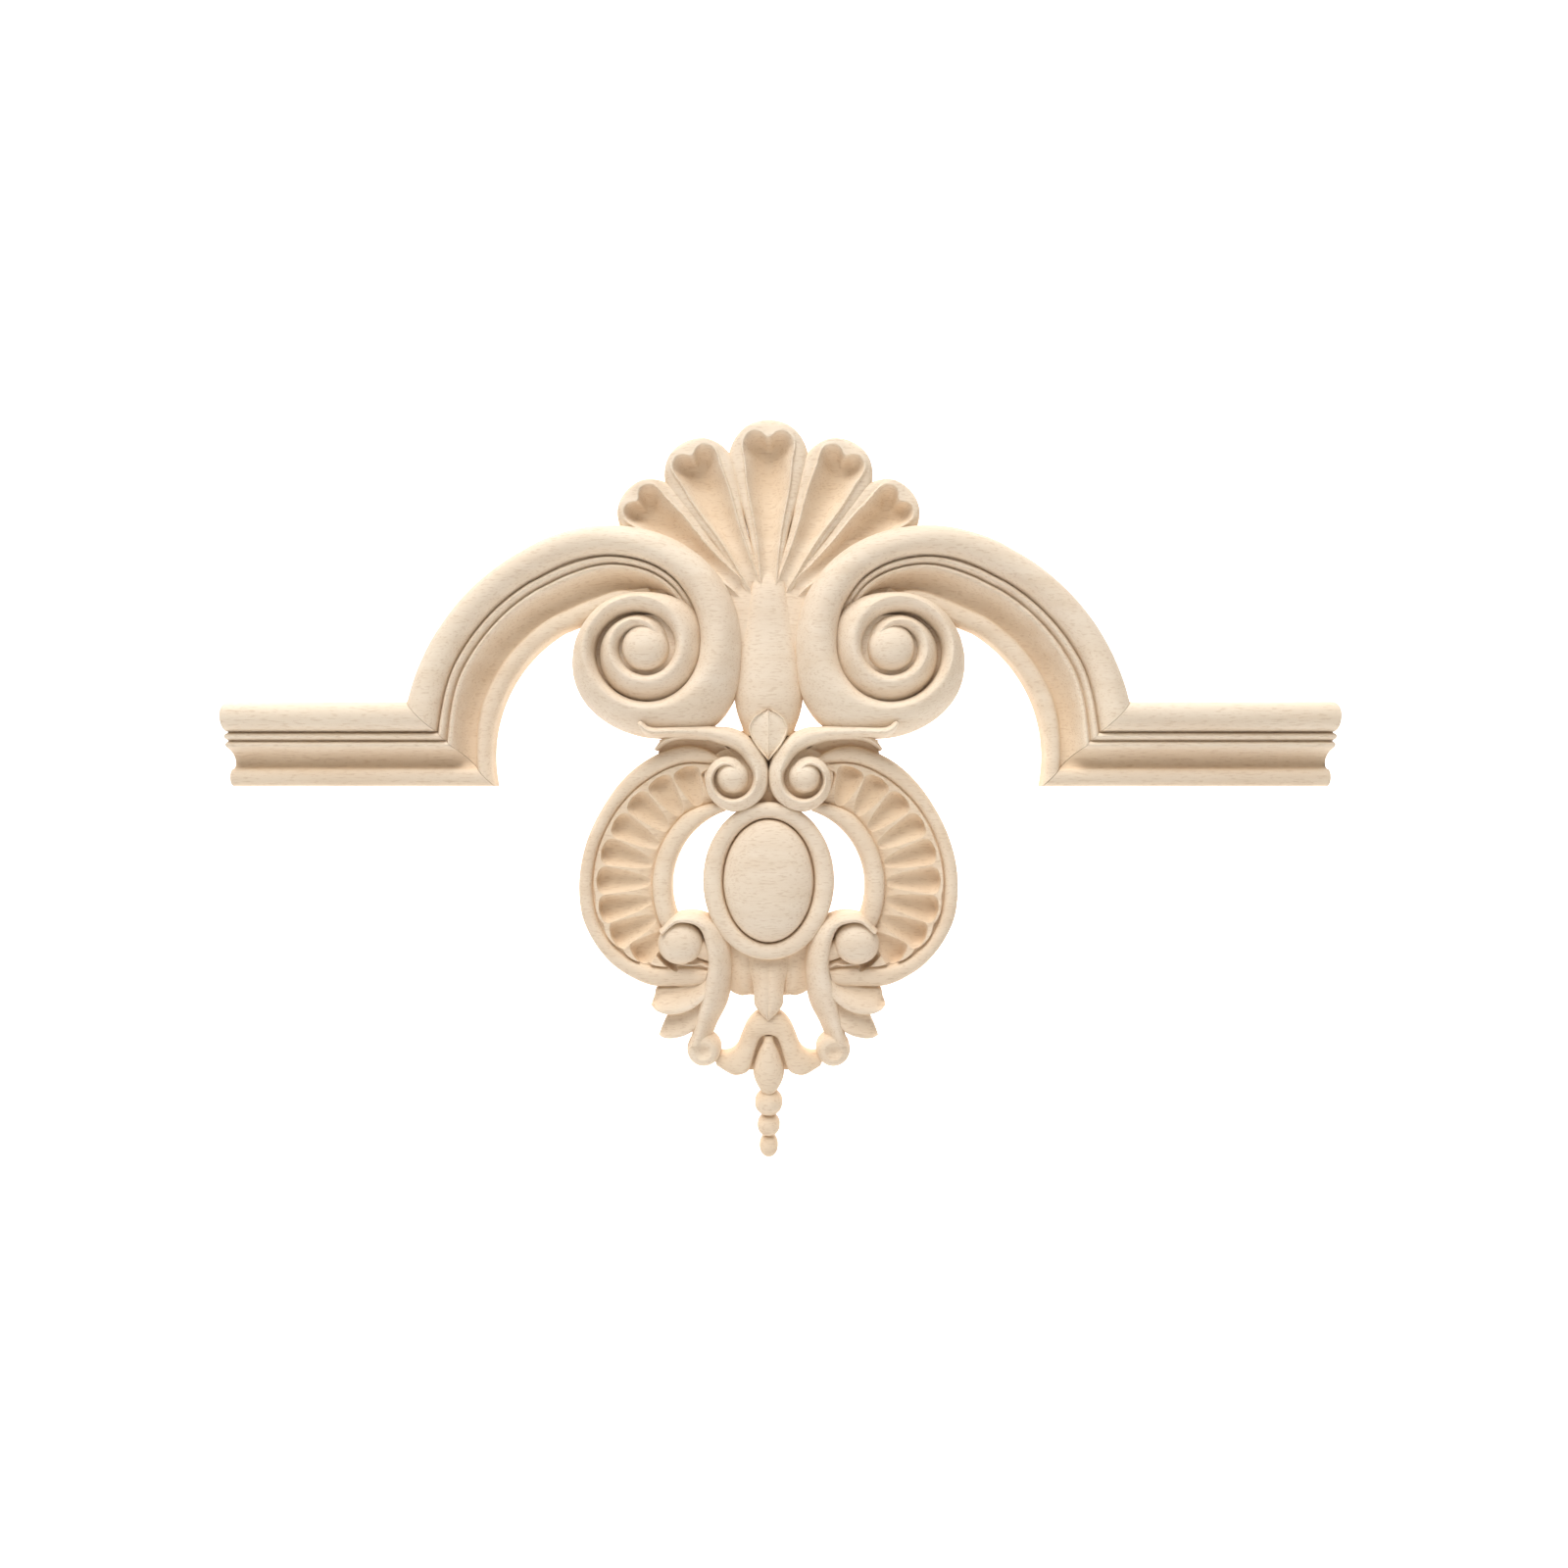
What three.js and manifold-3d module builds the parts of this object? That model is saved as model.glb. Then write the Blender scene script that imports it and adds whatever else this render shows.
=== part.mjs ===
// Carved wood moulding: two straight mouldings mitred to one carved crest of arches, volutes, shell and cartouche.
// Millimetres, +X right, +Z up, the front faces -Y and the flat back lies on the plane y = 0.
// Heights are measured forward from the back. The carving is drawn for the right half and mirrored.
import * as THREE from 'three';
import { mergeVertices } from 'three/addons/utils/BufferGeometryUtils.js';
import Module from 'manifold-3d';

// Sizes of the straight mouldings
const MOULDING_WIDTH = 60;
const MOULDING_HEIGHT = 30;
const LEFT_REACH = 382;
const RIGHT_REACH = 399;
const GLUE_GAP = 0.3;

// Sizes of the arches
const ARCH_CENTRE_X = 93.7;
const ARCH_CENTRE_Z = -8.5;
const ARCH_INNER_RADIUS = 103.5;
const ARCH_BREADTH = 62.6;

// Sizes of the large volutes
const EYE_X = 86.5;
const EYE_Z = 67.5;
const EYE_RADIUS = 16.8;
const EYE_HEIGHT = 33;
const VOLUTE_HEIGHT = 31;
const VOLUTE_START = 83.5;

// Sizes of the shell and its stem
const SHELL_HEIGHT = 19;
const LOBE_RIM = 5;
const STEM_TOP = 112;
const STEM_HALF_WIDTH = 24.3;
const STEM_HEIGHT = 20;
const CENTRE_LOBE = { x: 0, z: 202.5, radius: 28.4 };
const UPPER_LOBE = { x: 48.5, z: 192, radius: 25.8 };
const LOWER_LOBE = { x: 83, z: 164, radius: 24.6 };

// Sizes of the small scrolls
const SCROLL_X = 25.5;
const SCROLL_Z = -23.5;
const SCROLL_EYE_RADIUS = 11.7;
const SCROLL_HEIGHT = 25;
const SCROLL_REACH = 91;

// Sizes of the cartouche ring and its hollows
const RING_X = 28.3;
const RING_Z = -101.2;
const RING_RADIUS = 107;
const RING_OPENING_RADIUS = 56.4;
const RING_OPENING_X = 12.7;
const RING_HEIGHT = 14.5;
const HOLLOW_COUNT = 10;
const HOLLOW_FIRST_ANGLE = 7.4;
const HOLLOW_STEP_ANGLE = 13.3;

// Sizes of the oval boss
const OVAL_Z = -97.2;
const OVAL_HALF_WIDTH = 47;
const OVAL_HALF_HEIGHT = 56.3;
const OVAL_HEIGHT = 27;

// Sizes of the lower scrolls
const LOWER_EYE_X = 62.8;
const LOWER_EYE_Z = -141.8;
const LOWER_EYE_RADIUS = 16;
const LOWER_HEIGHT = 22;
const KNOB_X = 46.2;
const KNOB_Z = -218;
const KNOB_RADIUS = 12.2;

// Sizes of the pendant
const BUD_TOP = -208.8;
const BUD_HALF_WIDTH = 11;
const BUD_HEIGHT = 15.5;
const DROP_RADII = [10, 8.1, 6.7];
const DROP_LENGTHS = [18.8, 16, 16];
const PENDANT_TOP = -248;
const DROP_SEAT = 4.2;
const DROP_OVERLAP = 1.2;

// Length of one unit of the freehand outlines, which are drawn as points from the carving's centre
const DRAWN_UNIT = 1;

const SCALE_ACROSS = MOULDING_WIDTH / 60;
const SCALE_UP = MOULDING_HEIGHT / 30;
const drawn = (points) => points.map((point) => point.map((value) => value * DRAWN_UNIT));
const radians = (degrees) => degrees * Math.PI / 180;
const blend = (a, b, t) => a + (b - a) * t;
const ease = (t) => {
  const u = Math.min(1, Math.max(0, t));
  return u * u * (3 - 2 * u);
};

// Smooth value at a place, through [place, value] stations
function through(stations, place) {
  let i = 0;
  while (i < stations.length - 2 && place > stations[i + 1][0]) i += 1;
  const [p0, v0] = stations[i];
  const [p1, v1] = stations[i + 1];
  const before = stations[Math.max(0, i - 1)];
  const after = stations[Math.min(stations.length - 1, i + 2)];
  const span = p1 - p0;
  const slope0 = (v1 - before[1]) / (p1 - before[0]) * span;
  const slope1 = (after[1] - v0) / (after[0] - p0) * span;
  const t = Math.min(1, Math.max(0, (place - p0) / span));
  const t2 = t * t;
  const t3 = t2 * t;
  return v0 * (2 * t3 - 3 * t2 + 1) + slope0 * (t3 - 2 * t2 + t) + v1 * (3 * t2 - 2 * t3) + slope1 * (t3 - t2);
}

// Smooth point on a curve drawn through a few points
function onCurve(points, t) {
  const last = points.length - 1;
  return points[0].map((_, k) => through(points.map((p, i) => [i / last, p[k]]), t));
}

// Closed solid from sections of [x, z, height], joined side by side and closed down to a level base
function solidFromSections(sections, { closed = false, seam = false, base = 0 } = {}) {
  const count = sections[0].length;
  const across = count + 2;
  const points = [];
  for (const section of sections) {
    points.push([section[0][0], -base, section[0][1]]);
    for (const [x, z, height] of section) points.push([x, -height, z]);
    points.push([section[count - 1][0], -base, section[count - 1][1]]);
  }
  const faces = [];
  const steps = closed ? sections.length : sections.length - 1;
  for (let i = 0; i < steps; i += 1) {
    const row = i * across;
    const next = ((i + 1) % sections.length) * across;
    for (let j = seam ? 1 : 0; j < across; j += 1) {
      const k = (j + 1) % across;
      faces.push([row + j, row + k, next + k], [row + j, next + k, next + j]);
    }
  }
  if (!closed) {
    for (const [row, turn] of [[0, -1], [sections.length - 1, 1]]) {
      const start = sections[row][0];
      const outline = [new THREE.Vector2(0, base)];
      for (const [x, z, height] of sections[row]) {
        outline.push(new THREE.Vector2(Math.hypot(x - start[0], z - start[1]), height));
      }
      outline.push(new THREE.Vector2(outline[count].x, base));
      const way = Math.sign(THREE.ShapeUtils.area(outline)) * turn;
      for (const [a, b, c] of THREE.ShapeUtils.triangulateShape(outline, [])) {
        const facing = Math.sign(THREE.ShapeUtils.area([outline[a], outline[b], outline[c]]));
        const face = facing === way ? [a, b, c] : [a, c, b];
        faces.push(face.map((n) => n + row * across));
      }
    }
  }
  return shapeFrom(points, faces);
}

// Welds points that coincide, drops faces that vanish and turns the faces outward
function shapeFrom(points, faces) {
  const seen = new Map();
  const kept = [];
  const index = points.map((p) => {
    const key = p.map((v) => Math.round(v * 2000)).join();
    if (!seen.has(key)) {
      seen.set(key, kept.length);
      kept.push(p);
    }
    return seen.get(key);
  });
  const solid = [];
  let volume = 0;
  for (const face of faces) {
    const [a, b, c] = face.map((n) => index[n]);
    if (a === b || b === c || a === c) continue;
    solid.push([a, b, c]);
    const [p, q, r] = [kept[a], kept[b], kept[c]];
    volume += p[0] * (q[1] * r[2] - q[2] * r[1]) - p[1] * (q[0] * r[2] - q[2] * r[0]) + p[2] * (q[0] * r[1] - q[1] * r[0]);
  }
  return { points: kept, faces: volume > 0 ? solid : solid.map(([a, b, c]) => [a, c, b]) };
}

const mirrored = (shape) => ({
  points: shape.points.map(([x, y, z]) => [-x, y, z]),
  faces: shape.faces.map(([a, b, c]) => [a, c, b]),
});

const wasm = await Module();
wasm.setup();

function toManifold(shape) {
  const mesh = new wasm.Mesh({
    numProp: 3,
    vertProperties: new Float32Array(shape.points.flat()),
    triVerts: new Uint32Array(shape.faces.flat()),
  });
  return new wasm.Manifold(mesh);
}

function toGeometry(solid) {
  const mesh = solid.getMesh();
  const geometry = new THREE.BufferGeometry();
  geometry.setAttribute('position', new THREE.BufferAttribute(new Float32Array(mesh.vertProperties), 3));
  geometry.setIndex(new THREE.BufferAttribute(new Uint32Array(mesh.triVerts), 1));
  return mergeVertices(geometry, 1e-4);
}

// Profile of the moulding as [distance from the inner edge, height]: edge, cove and two beads under the roll
const INNER_PROFILE = [
  [0, 11], [4, 15.2], [11, 14.3], [14, 8], [21, 9.2], [27.5, 20],
  [29.6, 21.8], [32, 18], [35, 23.5], [38, 19], [41, 18],
].map(([across, height]) => [across * SCALE_ACROSS, height * SCALE_UP]);
const ROLL_FOOT = 38.6 * SCALE_ACROSS;
const ROLL_CREST = 49.5 * SCALE_ACROSS;
const ROLL_FOOT_HEIGHT = 19 * SCALE_UP;
const ROLL_EDGE_HEIGHT = 15 * SCALE_UP;
const ROLL_PLACES = [-1, -0.62, 0, 0.48, 0.85, 1];

// Height across a roll: place -1 is its foot, 0 its crest and 1 its outer edge
function rollHeight(place, foot, crest, edge, roundness) {
  if (place < 0) return foot + (crest - foot) * Math.sqrt(1 - place * place);
  return edge + (crest - edge) * (1 - place ** roundness) ** (1 / roundness);
}

const rollPoint = (place, foot, crest, edge) => place < 0 ? blend(crest, foot, -place) : blend(crest, edge, place);

// Straight moulding from the mitre to its square end
const LOW = -MOULDING_WIDTH / 2;
const HIGH = MOULDING_WIDTH / 2;
const MITRE_LOW = ARCH_CENTRE_X + Math.sqrt(ARCH_INNER_RADIUS ** 2 - (LOW - ARCH_CENTRE_Z) ** 2);
const MITRE_HIGH = ARCH_CENTRE_X + Math.sqrt((ARCH_INNER_RADIUS + ARCH_BREADTH) ** 2 - (HIGH - ARCH_CENTRE_Z) ** 2);
const mitreX = (across) => blend(MITRE_LOW, MITRE_HIGH, across / MOULDING_WIDTH);

function straightMoulding(reach) {
  const shift = GLUE_GAP * Math.SQRT2;
  const profile = INNER_PROFILE.slice(0, -1);
  for (const place of ROLL_PLACES) {
    const across = rollPoint(place, ROLL_FOOT, ROLL_CREST, MOULDING_WIDTH);
    profile.push([across, rollHeight(place, ROLL_FOOT_HEIGHT, MOULDING_HEIGHT, ROLL_EDGE_HEIGHT, 2.1)]);
  }
  return solidFromSections([
    profile.map(([across, height]) => [mitreX(across) + shift, LOW + across, height]),
    profile.map(([across, height]) => [reach, LOW + across, height]),
  ]);
}

// Point of the arch at a distance across the moulding and a travel from the mitre (0) to its last radial section (1)
const ARCH_END_ANGLE = 31;
const archRadius = (across) => ARCH_INNER_RADIUS + across * ARCH_BREADTH / MOULDING_WIDTH;
function archPoint(across, travel) {
  const radius = archRadius(across);
  let low = 40;
  let high = 140;
  for (let i = 0; i < 40; i += 1) {
    const middle = (low + high) / 2;
    const x = ARCH_CENTRE_X + radius * Math.sin(radians(middle));
    const z = ARCH_CENTRE_Z + radius * Math.cos(radians(middle));
    const mitreZ = blend(LOW, HIGH, (x - MITRE_LOW) / (MITRE_HIGH - MITRE_LOW));
    if (z > mitreZ) low = middle; else high = middle;
  }
  const bearing = radians(blend(low, ARCH_END_ANGLE, travel));
  const onMitre = radians(low);
  const settle = 1 - ease(travel / 0.4);
  const dx = mitreX(across) - (ARCH_CENTRE_X + radius * Math.sin(onMitre));
  const dz = LOW + across - (ARCH_CENTRE_Z + radius * Math.cos(onMitre));
  return [
    ARCH_CENTRE_X + radius * Math.sin(bearing) + dx * settle,
    ARCH_CENTRE_Z + radius * Math.cos(bearing) + dz * settle,
  ];
}

// Turn 0 points up from the eye and turns toward the middle of the carving
const fromEye = (turn, distance) => [
  EYE_X - distance * Math.sin(radians(turn)),
  EYE_Z + distance * Math.cos(radians(turn)),
];

function eyeToArch(turn, across) {
  const [dx, dz] = [-Math.sin(radians(turn)), Math.cos(radians(turn))];
  const [ex, ez] = [EYE_X - ARCH_CENTRE_X, EYE_Z - ARCH_CENTRE_Z];
  const along = ex * dx + ez * dz;
  return -along + Math.sqrt(along * along - ex * ex - ez * ez + archRadius(across) ** 2);
}

// Radii of the volute at its turns, as shares of the radius where the arch becomes the volute
const START_ANGLE = -50;
const SPLIT_ANGLE = 310;
const END_ANGLE = 675;
const spiral = (across, shares) => [
  [START_ANGLE, eyeToArch(START_ANGLE, across)],
  [-30, eyeToArch(-30, across)],
  ...shares.map(([turn, share]) => [turn, share * VOLUTE_START]),
];
const FOOT_RADII = spiral(ROLL_FOOT, [
  [0, 0.73], [54, 0.52], [90, 0.455], [180, 0.449], [270, 0.435], [310, 0.375], [360, 0.3], [450, 0.249],
  [540, 0.228], [630, 0.235], [675, 0.235],
]);
const CREST_RADII = spiral(ROLL_CREST, [
  [0, 0.849], [45, 0.705], [90, 0.624], [180, 0.527], [270, 0.507], [310, 0.46], [360, 0.412], [450, 0.327],
  [540, 0.302], [630, 0.31], [675, 0.26],
]);
const EDGE_RADII = spiral(MOULDING_WIDTH, [
  [0, 1.01], [45, 0.875], [90, 0.81], [122, 0.855], [140, 0.862], [165, 0.78], [202, 0.722], [238, 0.688],
  [274, 0.618], [310, 0.55], [360, 0.483], [414, 0.52], [450, 0.465], [540, 0.459], [630, 0.445], [675, 0.385],
]);
const FOOT_HEIGHTS = [[-50, 19], [0, 19], [90, 17], [180, 16], [270, 17], [360, 18.5], [450, 19], [630, 20.5], [675, 21]];
const CREST_HEIGHTS = [[-50, 0], [0, 0.2], [90, 1], [600, 1], [640, 0.3], [675, -8]];
const EDGE_HEIGHTS = [[-50, 15], [0, 14.5], [90, 13.5], [180, 13], [300, 14], [360, 15], [675, 15]];

function rollSection(turn) {
  const foot = through(FOOT_RADII, turn);
  const crest = through(CREST_RADII, turn);
  const edge = through(EDGE_RADII, turn);
  const top = MOULDING_HEIGHT + (VOLUTE_HEIGHT - MOULDING_HEIGHT) * through(CREST_HEIGHTS, turn);
  const roundness = blend(2.1, 1.35, ease((turn - 20) / 120));
  return ROLL_PLACES.map((place) => [
    ...fromEye(turn, rollPoint(place, foot, crest, edge)),
    rollHeight(place, through(FOOT_HEIGHTS, turn) * SCALE_UP, top, through(EDGE_HEIGHTS, turn) * SCALE_UP, roundness),
  ]);
}

const steps = (from, to, count) => Array.from({ length: count + 1 }, (_, i) => blend(from, to, i / count));

function archRoll() {
  const arch = steps(0, 1, 8).map((travel) => ROLL_PLACES.map((place) => [
    ...archPoint(rollPoint(place, ROLL_FOOT, ROLL_CREST, MOULDING_WIDTH), travel),
    rollHeight(place, ROLL_FOOT_HEIGHT, MOULDING_HEIGHT, ROLL_EDGE_HEIGHT, 2.1),
  ]));
  return solidFromSections([...arch, ...steps(START_ANGLE, SPLIT_ANGLE, 23).map(rollSection)]);
}

const innerTurn = () => solidFromSections(steps(SPLIT_ANGLE, END_ANGLE, 18).map(rollSection));

// Beads and cove of the arch, which run out beneath the second turn of the volute
function archInside() {
  const arch = steps(0, 1, 8).map((travel) => INNER_PROFILE.map(([across, height]) => [
    ...archPoint(across, travel), height,
  ]));
  const hidden = steps(START_ANGLE, 58, 7).map((turn) => INNER_PROFILE.map(([across, height]) => {
    const squeeze = blend(1, 0.72, ease((turn - START_ANGLE) / 100));
    const distance = turn < -29 ? eyeToArch(turn, across) : through(FOOT_RADII, turn) - (ROLL_FOOT - across) * squeeze;
    return [...fromEye(turn, distance), blend(height, 0.45 * MOULDING_HEIGHT, ease((turn - 15) / 40))];
  }));
  return solidFromSections([...arch, ...hidden]);
}

// Round boss: closed sections from its middle to its rim, as [share of the radius, height]
function boss(x, z, halfWidth, halfHeight, profile, count) {
  const sections = steps(0, 360, count).slice(0, count).map((bearing) => profile.map(([share, height]) => [
    x + halfWidth * share * Math.sin(radians(bearing)),
    z + halfHeight * share * Math.cos(radians(bearing)),
    height,
  ]));
  return solidFromSections(sections, { closed: true });
}

const domed = (edge, top, places) => places.map((share) => [share, edge + (top - edge) * Math.sqrt(1 - share * share)]);

const voluteEye = () => boss(EYE_X, EYE_Z, EYE_RADIUS, EYE_RADIUS, [
  ...domed(0.64 * EYE_HEIGHT, EYE_HEIGHT, [0, 0.5, 0.85, 1]),
  [1.42, 0.56 * EYE_HEIGHT],
], 12);

// One lobe of the shell: a long dished petal with a thin rim and a lip that dips into the hollow.
// Its root is given as x, z and half width, in shares of the stem's height.
function shellLobe({ x, z, radius }, root) {
  const [rootX, rootZ, rootHalf] = root.map((value) => value * STEM_TOP);
  const length = Math.hypot(x - rootX, z - rootZ);
  const [ax, az] = [(x - rootX) / length, (z - rootZ) / length];
  const section = (along, half, bearing, tip) => {
    const [sx, sz] = [rootX + ax * along, rootZ + az * along];
    const [dx, dz] = [
      ax * Math.cos(radians(bearing)) + az * Math.sin(radians(bearing)),
      az * Math.cos(radians(bearing)) - ax * Math.sin(radians(bearing)),
    ];
    const open = along / length;
    const lip = tip ? 1.04 * LOBE_RIM * Math.exp(-((bearing / 20) ** 2)) : 0;
    const rim = blend(0.32 * LOBE_RIM, LOBE_RIM, open) + lip;
    const top = blend(0.9 * SHELL_HEIGHT, SHELL_HEIGHT, open);
    const floor = blend(top - 0.13 * SHELL_HEIGHT, 0.37 * SHELL_HEIGHT, ease(open * 1.1));
    const profile = [
      [0, floor], [0.55 * (half - rim), floor + 0.2 * (top - floor)], [half - rim, 0.94 * top],
      [half - rim * 0.5, top], [half, 0.63 * top],
    ];
    return profile.map(([distance, height]) => [sx + dx * distance, sz + dz * distance, height]);
  };
  const side = (bearing) => steps(0, length, 3).map((along) => {
    const half = blend(rootHalf, radius, Math.sin(along / length * Math.PI / 2) ** 1.25);
    return section(along, half, bearing, false);
  });
  return solidFromSections([
    ...side(-90).slice(0, 3),
    ...steps(-90, 90, 8).map((bearing) => section(length, radius, bearing, true)),
    ...side(90).slice(0, 3).reverse(),
  ], { seam: true });
}

// Band along z, alike on both sides: stations of [z, half width, height at the middle, height at the edge]
function uprightBand(stations, places, roundness = 2) {
  return solidFromSections(stations.map(([z, half, top, edge]) => places.map((place) => [
    half * place, z, edge + (top - edge) * (1 - Math.abs(place) ** roundness) ** (1 / roundness),
  ])));
}

const stem = () => uprightBand(steps(1, 0.054, 8).map((share) => [
  share * STEM_TOP,
  STEM_HALF_WIDTH * through([
    [0.054, 0.7], [0.107, 0.78], [0.188, 0.918], [0.277, 1], [0.375, 0.996], [0.536, 0.831], [0.875, 0.556], [1, 0.432],
  ], share),
  STEM_HEIGHT * through([[0.054, 0.85], [0.3, 1.05], [0.67, 0.95], [1, 0.775]], share),
  STEM_HEIGHT * through([[0.054, 0.35], [0.536, 0.45], [1, 0.6]], share),
]), [-1, -0.7, 0, 0.7, 1]);

// Ground behind the shell, the stem and the inner sides of the volutes
const ground = () => uprightBand(drawn([[48, 45, 9, 9], [100, 55, 9.5, 9.5], [146, 66, 10, 10]]), [-1, 1]);
const voluteGround = () => {
  const level = 0.4 * MOULDING_HEIGHT;
  return boss(EYE_X, EYE_Z, 0.53 * VOLUTE_START, 0.53 * VOLUTE_START, [[0, level], [1, level]], 12);
};
const knotGround = () => uprightBand(drawn([[-4, 14, 8, 8], [-50, 14, 8, 8]]), [-1, 1]);

// Band between two drawn edges, with a profile of [share of the way from the first edge to the second, height]
function bandBetween(first, second, profile, count) {
  return solidFromSections(steps(0, 1, count).map((t) => {
    const [a, b] = [onCurve(drawn(first), t), onCurve(drawn(second), t)];
    return profile(t).map(([share, height]) => [blend(a[0], b[0], share), blend(a[1], b[1], share), height]);
  }));
}

const fromScroll = (turn, distance) => [
  SCROLL_X - distance * Math.sin(radians(turn)),
  SCROLL_Z + distance * Math.cos(radians(turn)),
];
// Radii of the small scroll at its turns, as shares of its eye's radius
const scrollOuter = [
  [-16, 3.2], [0, 2.99], [24, 2.62], [52, 2.36], [85, 2.22], [125, 2.19], [175, 2.12], [233, 1.84], [270, 1.64], [330, 1.37],
];
const scrollInner = [[-16, 2.01], [4, 1.62], [44, 1.2], [87, 1.22], [180, 1.28], [239, 1.16], [290, 0.98], [330, 0.915]];

// Small scroll: a straight tail that rolls up around its eye
function smallScroll() {
  const profile = (turning) => [
    [0, blend(0.52, 0.56, turning)], [blend(0.15, 0.08, turning), 0.8], [blend(0.42, 0.26, turning), 1],
    [blend(0.75, 0.65, turning), blend(0.93, 0.87, turning)], [1, blend(0.56, 0.5, turning)],
  ].map(([share, height]) => [share, height * SCROLL_HEIGHT]);
  const straight = steps(0, 1, 4).map((t) => {
    const x = blend(SCROLL_REACH, SCROLL_X + 1.5 * SCROLL_EYE_RADIUS, t);
    const low = SCROLL_Z + SCROLL_EYE_RADIUS * through([[0, 2.52], [0.1, 2.37], [0.5, 2.39], [1, 2.24]], t);
    const high = SCROLL_Z + SCROLL_EYE_RADIUS * through([[0, 2.95], [0.08, 3.18], [0.2, 3.08], [0.5, 3.08], [1, 3.1]], t);
    return profile(0).map(([share, height]) => [x, blend(low, high, share), height * (t === 0 ? 0.8 : 1)]);
  });
  const rolled = steps(-16, 330, 11).map((turn) => profile(ease((turn + 16) / 110)).map(([share, height]) => [
    ...fromScroll(turn, SCROLL_EYE_RADIUS * blend(through(scrollInner, turn), through(scrollOuter, turn), share)), height,
  ]));
  return solidFromSections([...straight, ...rolled]);
}

const scrollEye = () => boss(SCROLL_X, SCROLL_Z, SCROLL_EYE_RADIUS, SCROLL_EYE_RADIUS, [
  ...domed(0.6 * SCROLL_HEIGHT, 1.06 * SCROLL_HEIGHT, [0, 0.6, 1]), [1.75, 0.44 * SCROLL_HEIGHT],
], 12);

// Hollow channel under the tail of the small scroll
const scrollChannel = () => bandBetween(
  [[82, 6], [66, 6], [50, 6], [38, 3], [28, -4], [16, -14]],
  [[82, -11], [69, -8], [52, -6], [43, -12], [36, -18], [26, -24]],
  () => [[0, 0.72 * SCROLL_HEIGHT], [0.4, 0.36 * SCROLL_HEIGHT], [1, 0.3 * SCROLL_HEIGHT]],
  6,
);

const fromRing = (bearing, distance) => [
  RING_X + distance * Math.sin(radians(bearing)),
  RING_Z + distance * Math.cos(radians(bearing)),
];
const ringOuter = [
  [3, 0.85], [10, 0.93], [18, 0.982], [35, 1.008], [60, 0.995], [100, 1.003], [111, 0.982], [123, 0.943],
  [131, 0.905], [142, 0.845], [152, 0.76], [166, 0.68],
];
const ringLine = [
  [3, 0.79], [12, 0.83], [20, 0.863], [30, 0.88], [60, 0.897], [100, 0.897], [114, 0.87], [130, 0.785],
  [142, 0.68], [152, 0.6], [166, 0.56],
];

function ringOpening(bearing) {
  const [dx, dz] = [Math.sin(radians(bearing)), Math.cos(radians(bearing))];
  const along = (RING_X - RING_OPENING_X) * dx;
  const offset = (RING_X - RING_OPENING_X) ** 2 - RING_OPENING_RADIUS ** 2;
  return -along + Math.sqrt(along * along - offset);
}

// Open ring of the cartouche: bead at the opening, field for the hollows, outer bead
function cartoucheRing() {
  return solidFromSections(steps(3, 166, 17).map((bearing) => {
    const inner = ringOpening(Math.min(bearing, 118));
    const field = RING_RADIUS * Math.min(0.565, through(ringLine, bearing) - 0.037);
    const line = through(ringLine, bearing) * RING_RADIUS;
    const outer = through(ringOuter, bearing) * RING_RADIUS;
    return [
      [Math.min(inner, field - 0.028 * RING_RADIUS), 0.48], [blend(inner, field, 0.25), 0.86],
      [blend(inner, field, 0.75), 0.91], [field, 0.69],
      [line - 0.0075 * RING_RADIUS, 0.86], [line, 0.75],
      [blend(line, outer, 0.3), 0.94], [blend(line, outer, 0.7), 0.96], [outer, 0.45],
    ].map(([distance, share]) => [...fromRing(bearing, distance), share * RING_HEIGHT]);
  }));
}

// Tool that leaves one hollow: narrow and shallow at the inner end, round and deep at the outer end
function hollowTool(number) {
  const bearing = HOLLOW_FIRST_ANGLE + HOLLOW_STEP_ANGLE * number;
  const line = (through(ringLine, bearing) - 0.024) * RING_RADIUS;
  const start = RING_RADIUS * 0.575;
  const stations = [[0, 0.22, 0.65], [0.45, 0.3, 0.5], [0.82, 0.365, 0.43], [1, 0.16, 0.47]];
  return solidFromSections(stations.map(([share, width, depth]) => {
    const distance = blend(start, line, share);
    const side = width * RING_RADIUS * radians(HOLLOW_STEP_ANGLE);
    const floor = depth * RING_HEIGHT;
    return [-1, -0.55, 0.55, 1].map((place) => {
      const [x, z] = fromRing(bearing, distance);
      const [dx, dz] = [Math.cos(radians(bearing)), -Math.sin(radians(bearing))];
      const height = floor + (0.93 * RING_HEIGHT - floor) * Math.abs(place) ** 2.4;
      return [x + dx * side * place, z + dz * side * place, height];
    });
  }), { base: 2 * RING_HEIGHT });
}

// Oval boss with a groove and a roll around it
const ovalBoss = () => boss(0, OVAL_Z, OVAL_HALF_WIDTH, OVAL_HALF_HEIGHT, [
  [0, OVAL_HEIGHT], [0.36, 0.95 * OVAL_HEIGHT], [0.58, 0.815 * OVAL_HEIGHT], [0.69, 0.61 * OVAL_HEIGHT],
  [0.74, 0.46 * OVAL_HEIGHT], [0.8, 0.63 * OVAL_HEIGHT], [0.92, 0.67 * OVAL_HEIGHT], [1, 0.41 * OVAL_HEIGHT],
], 18);

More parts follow.
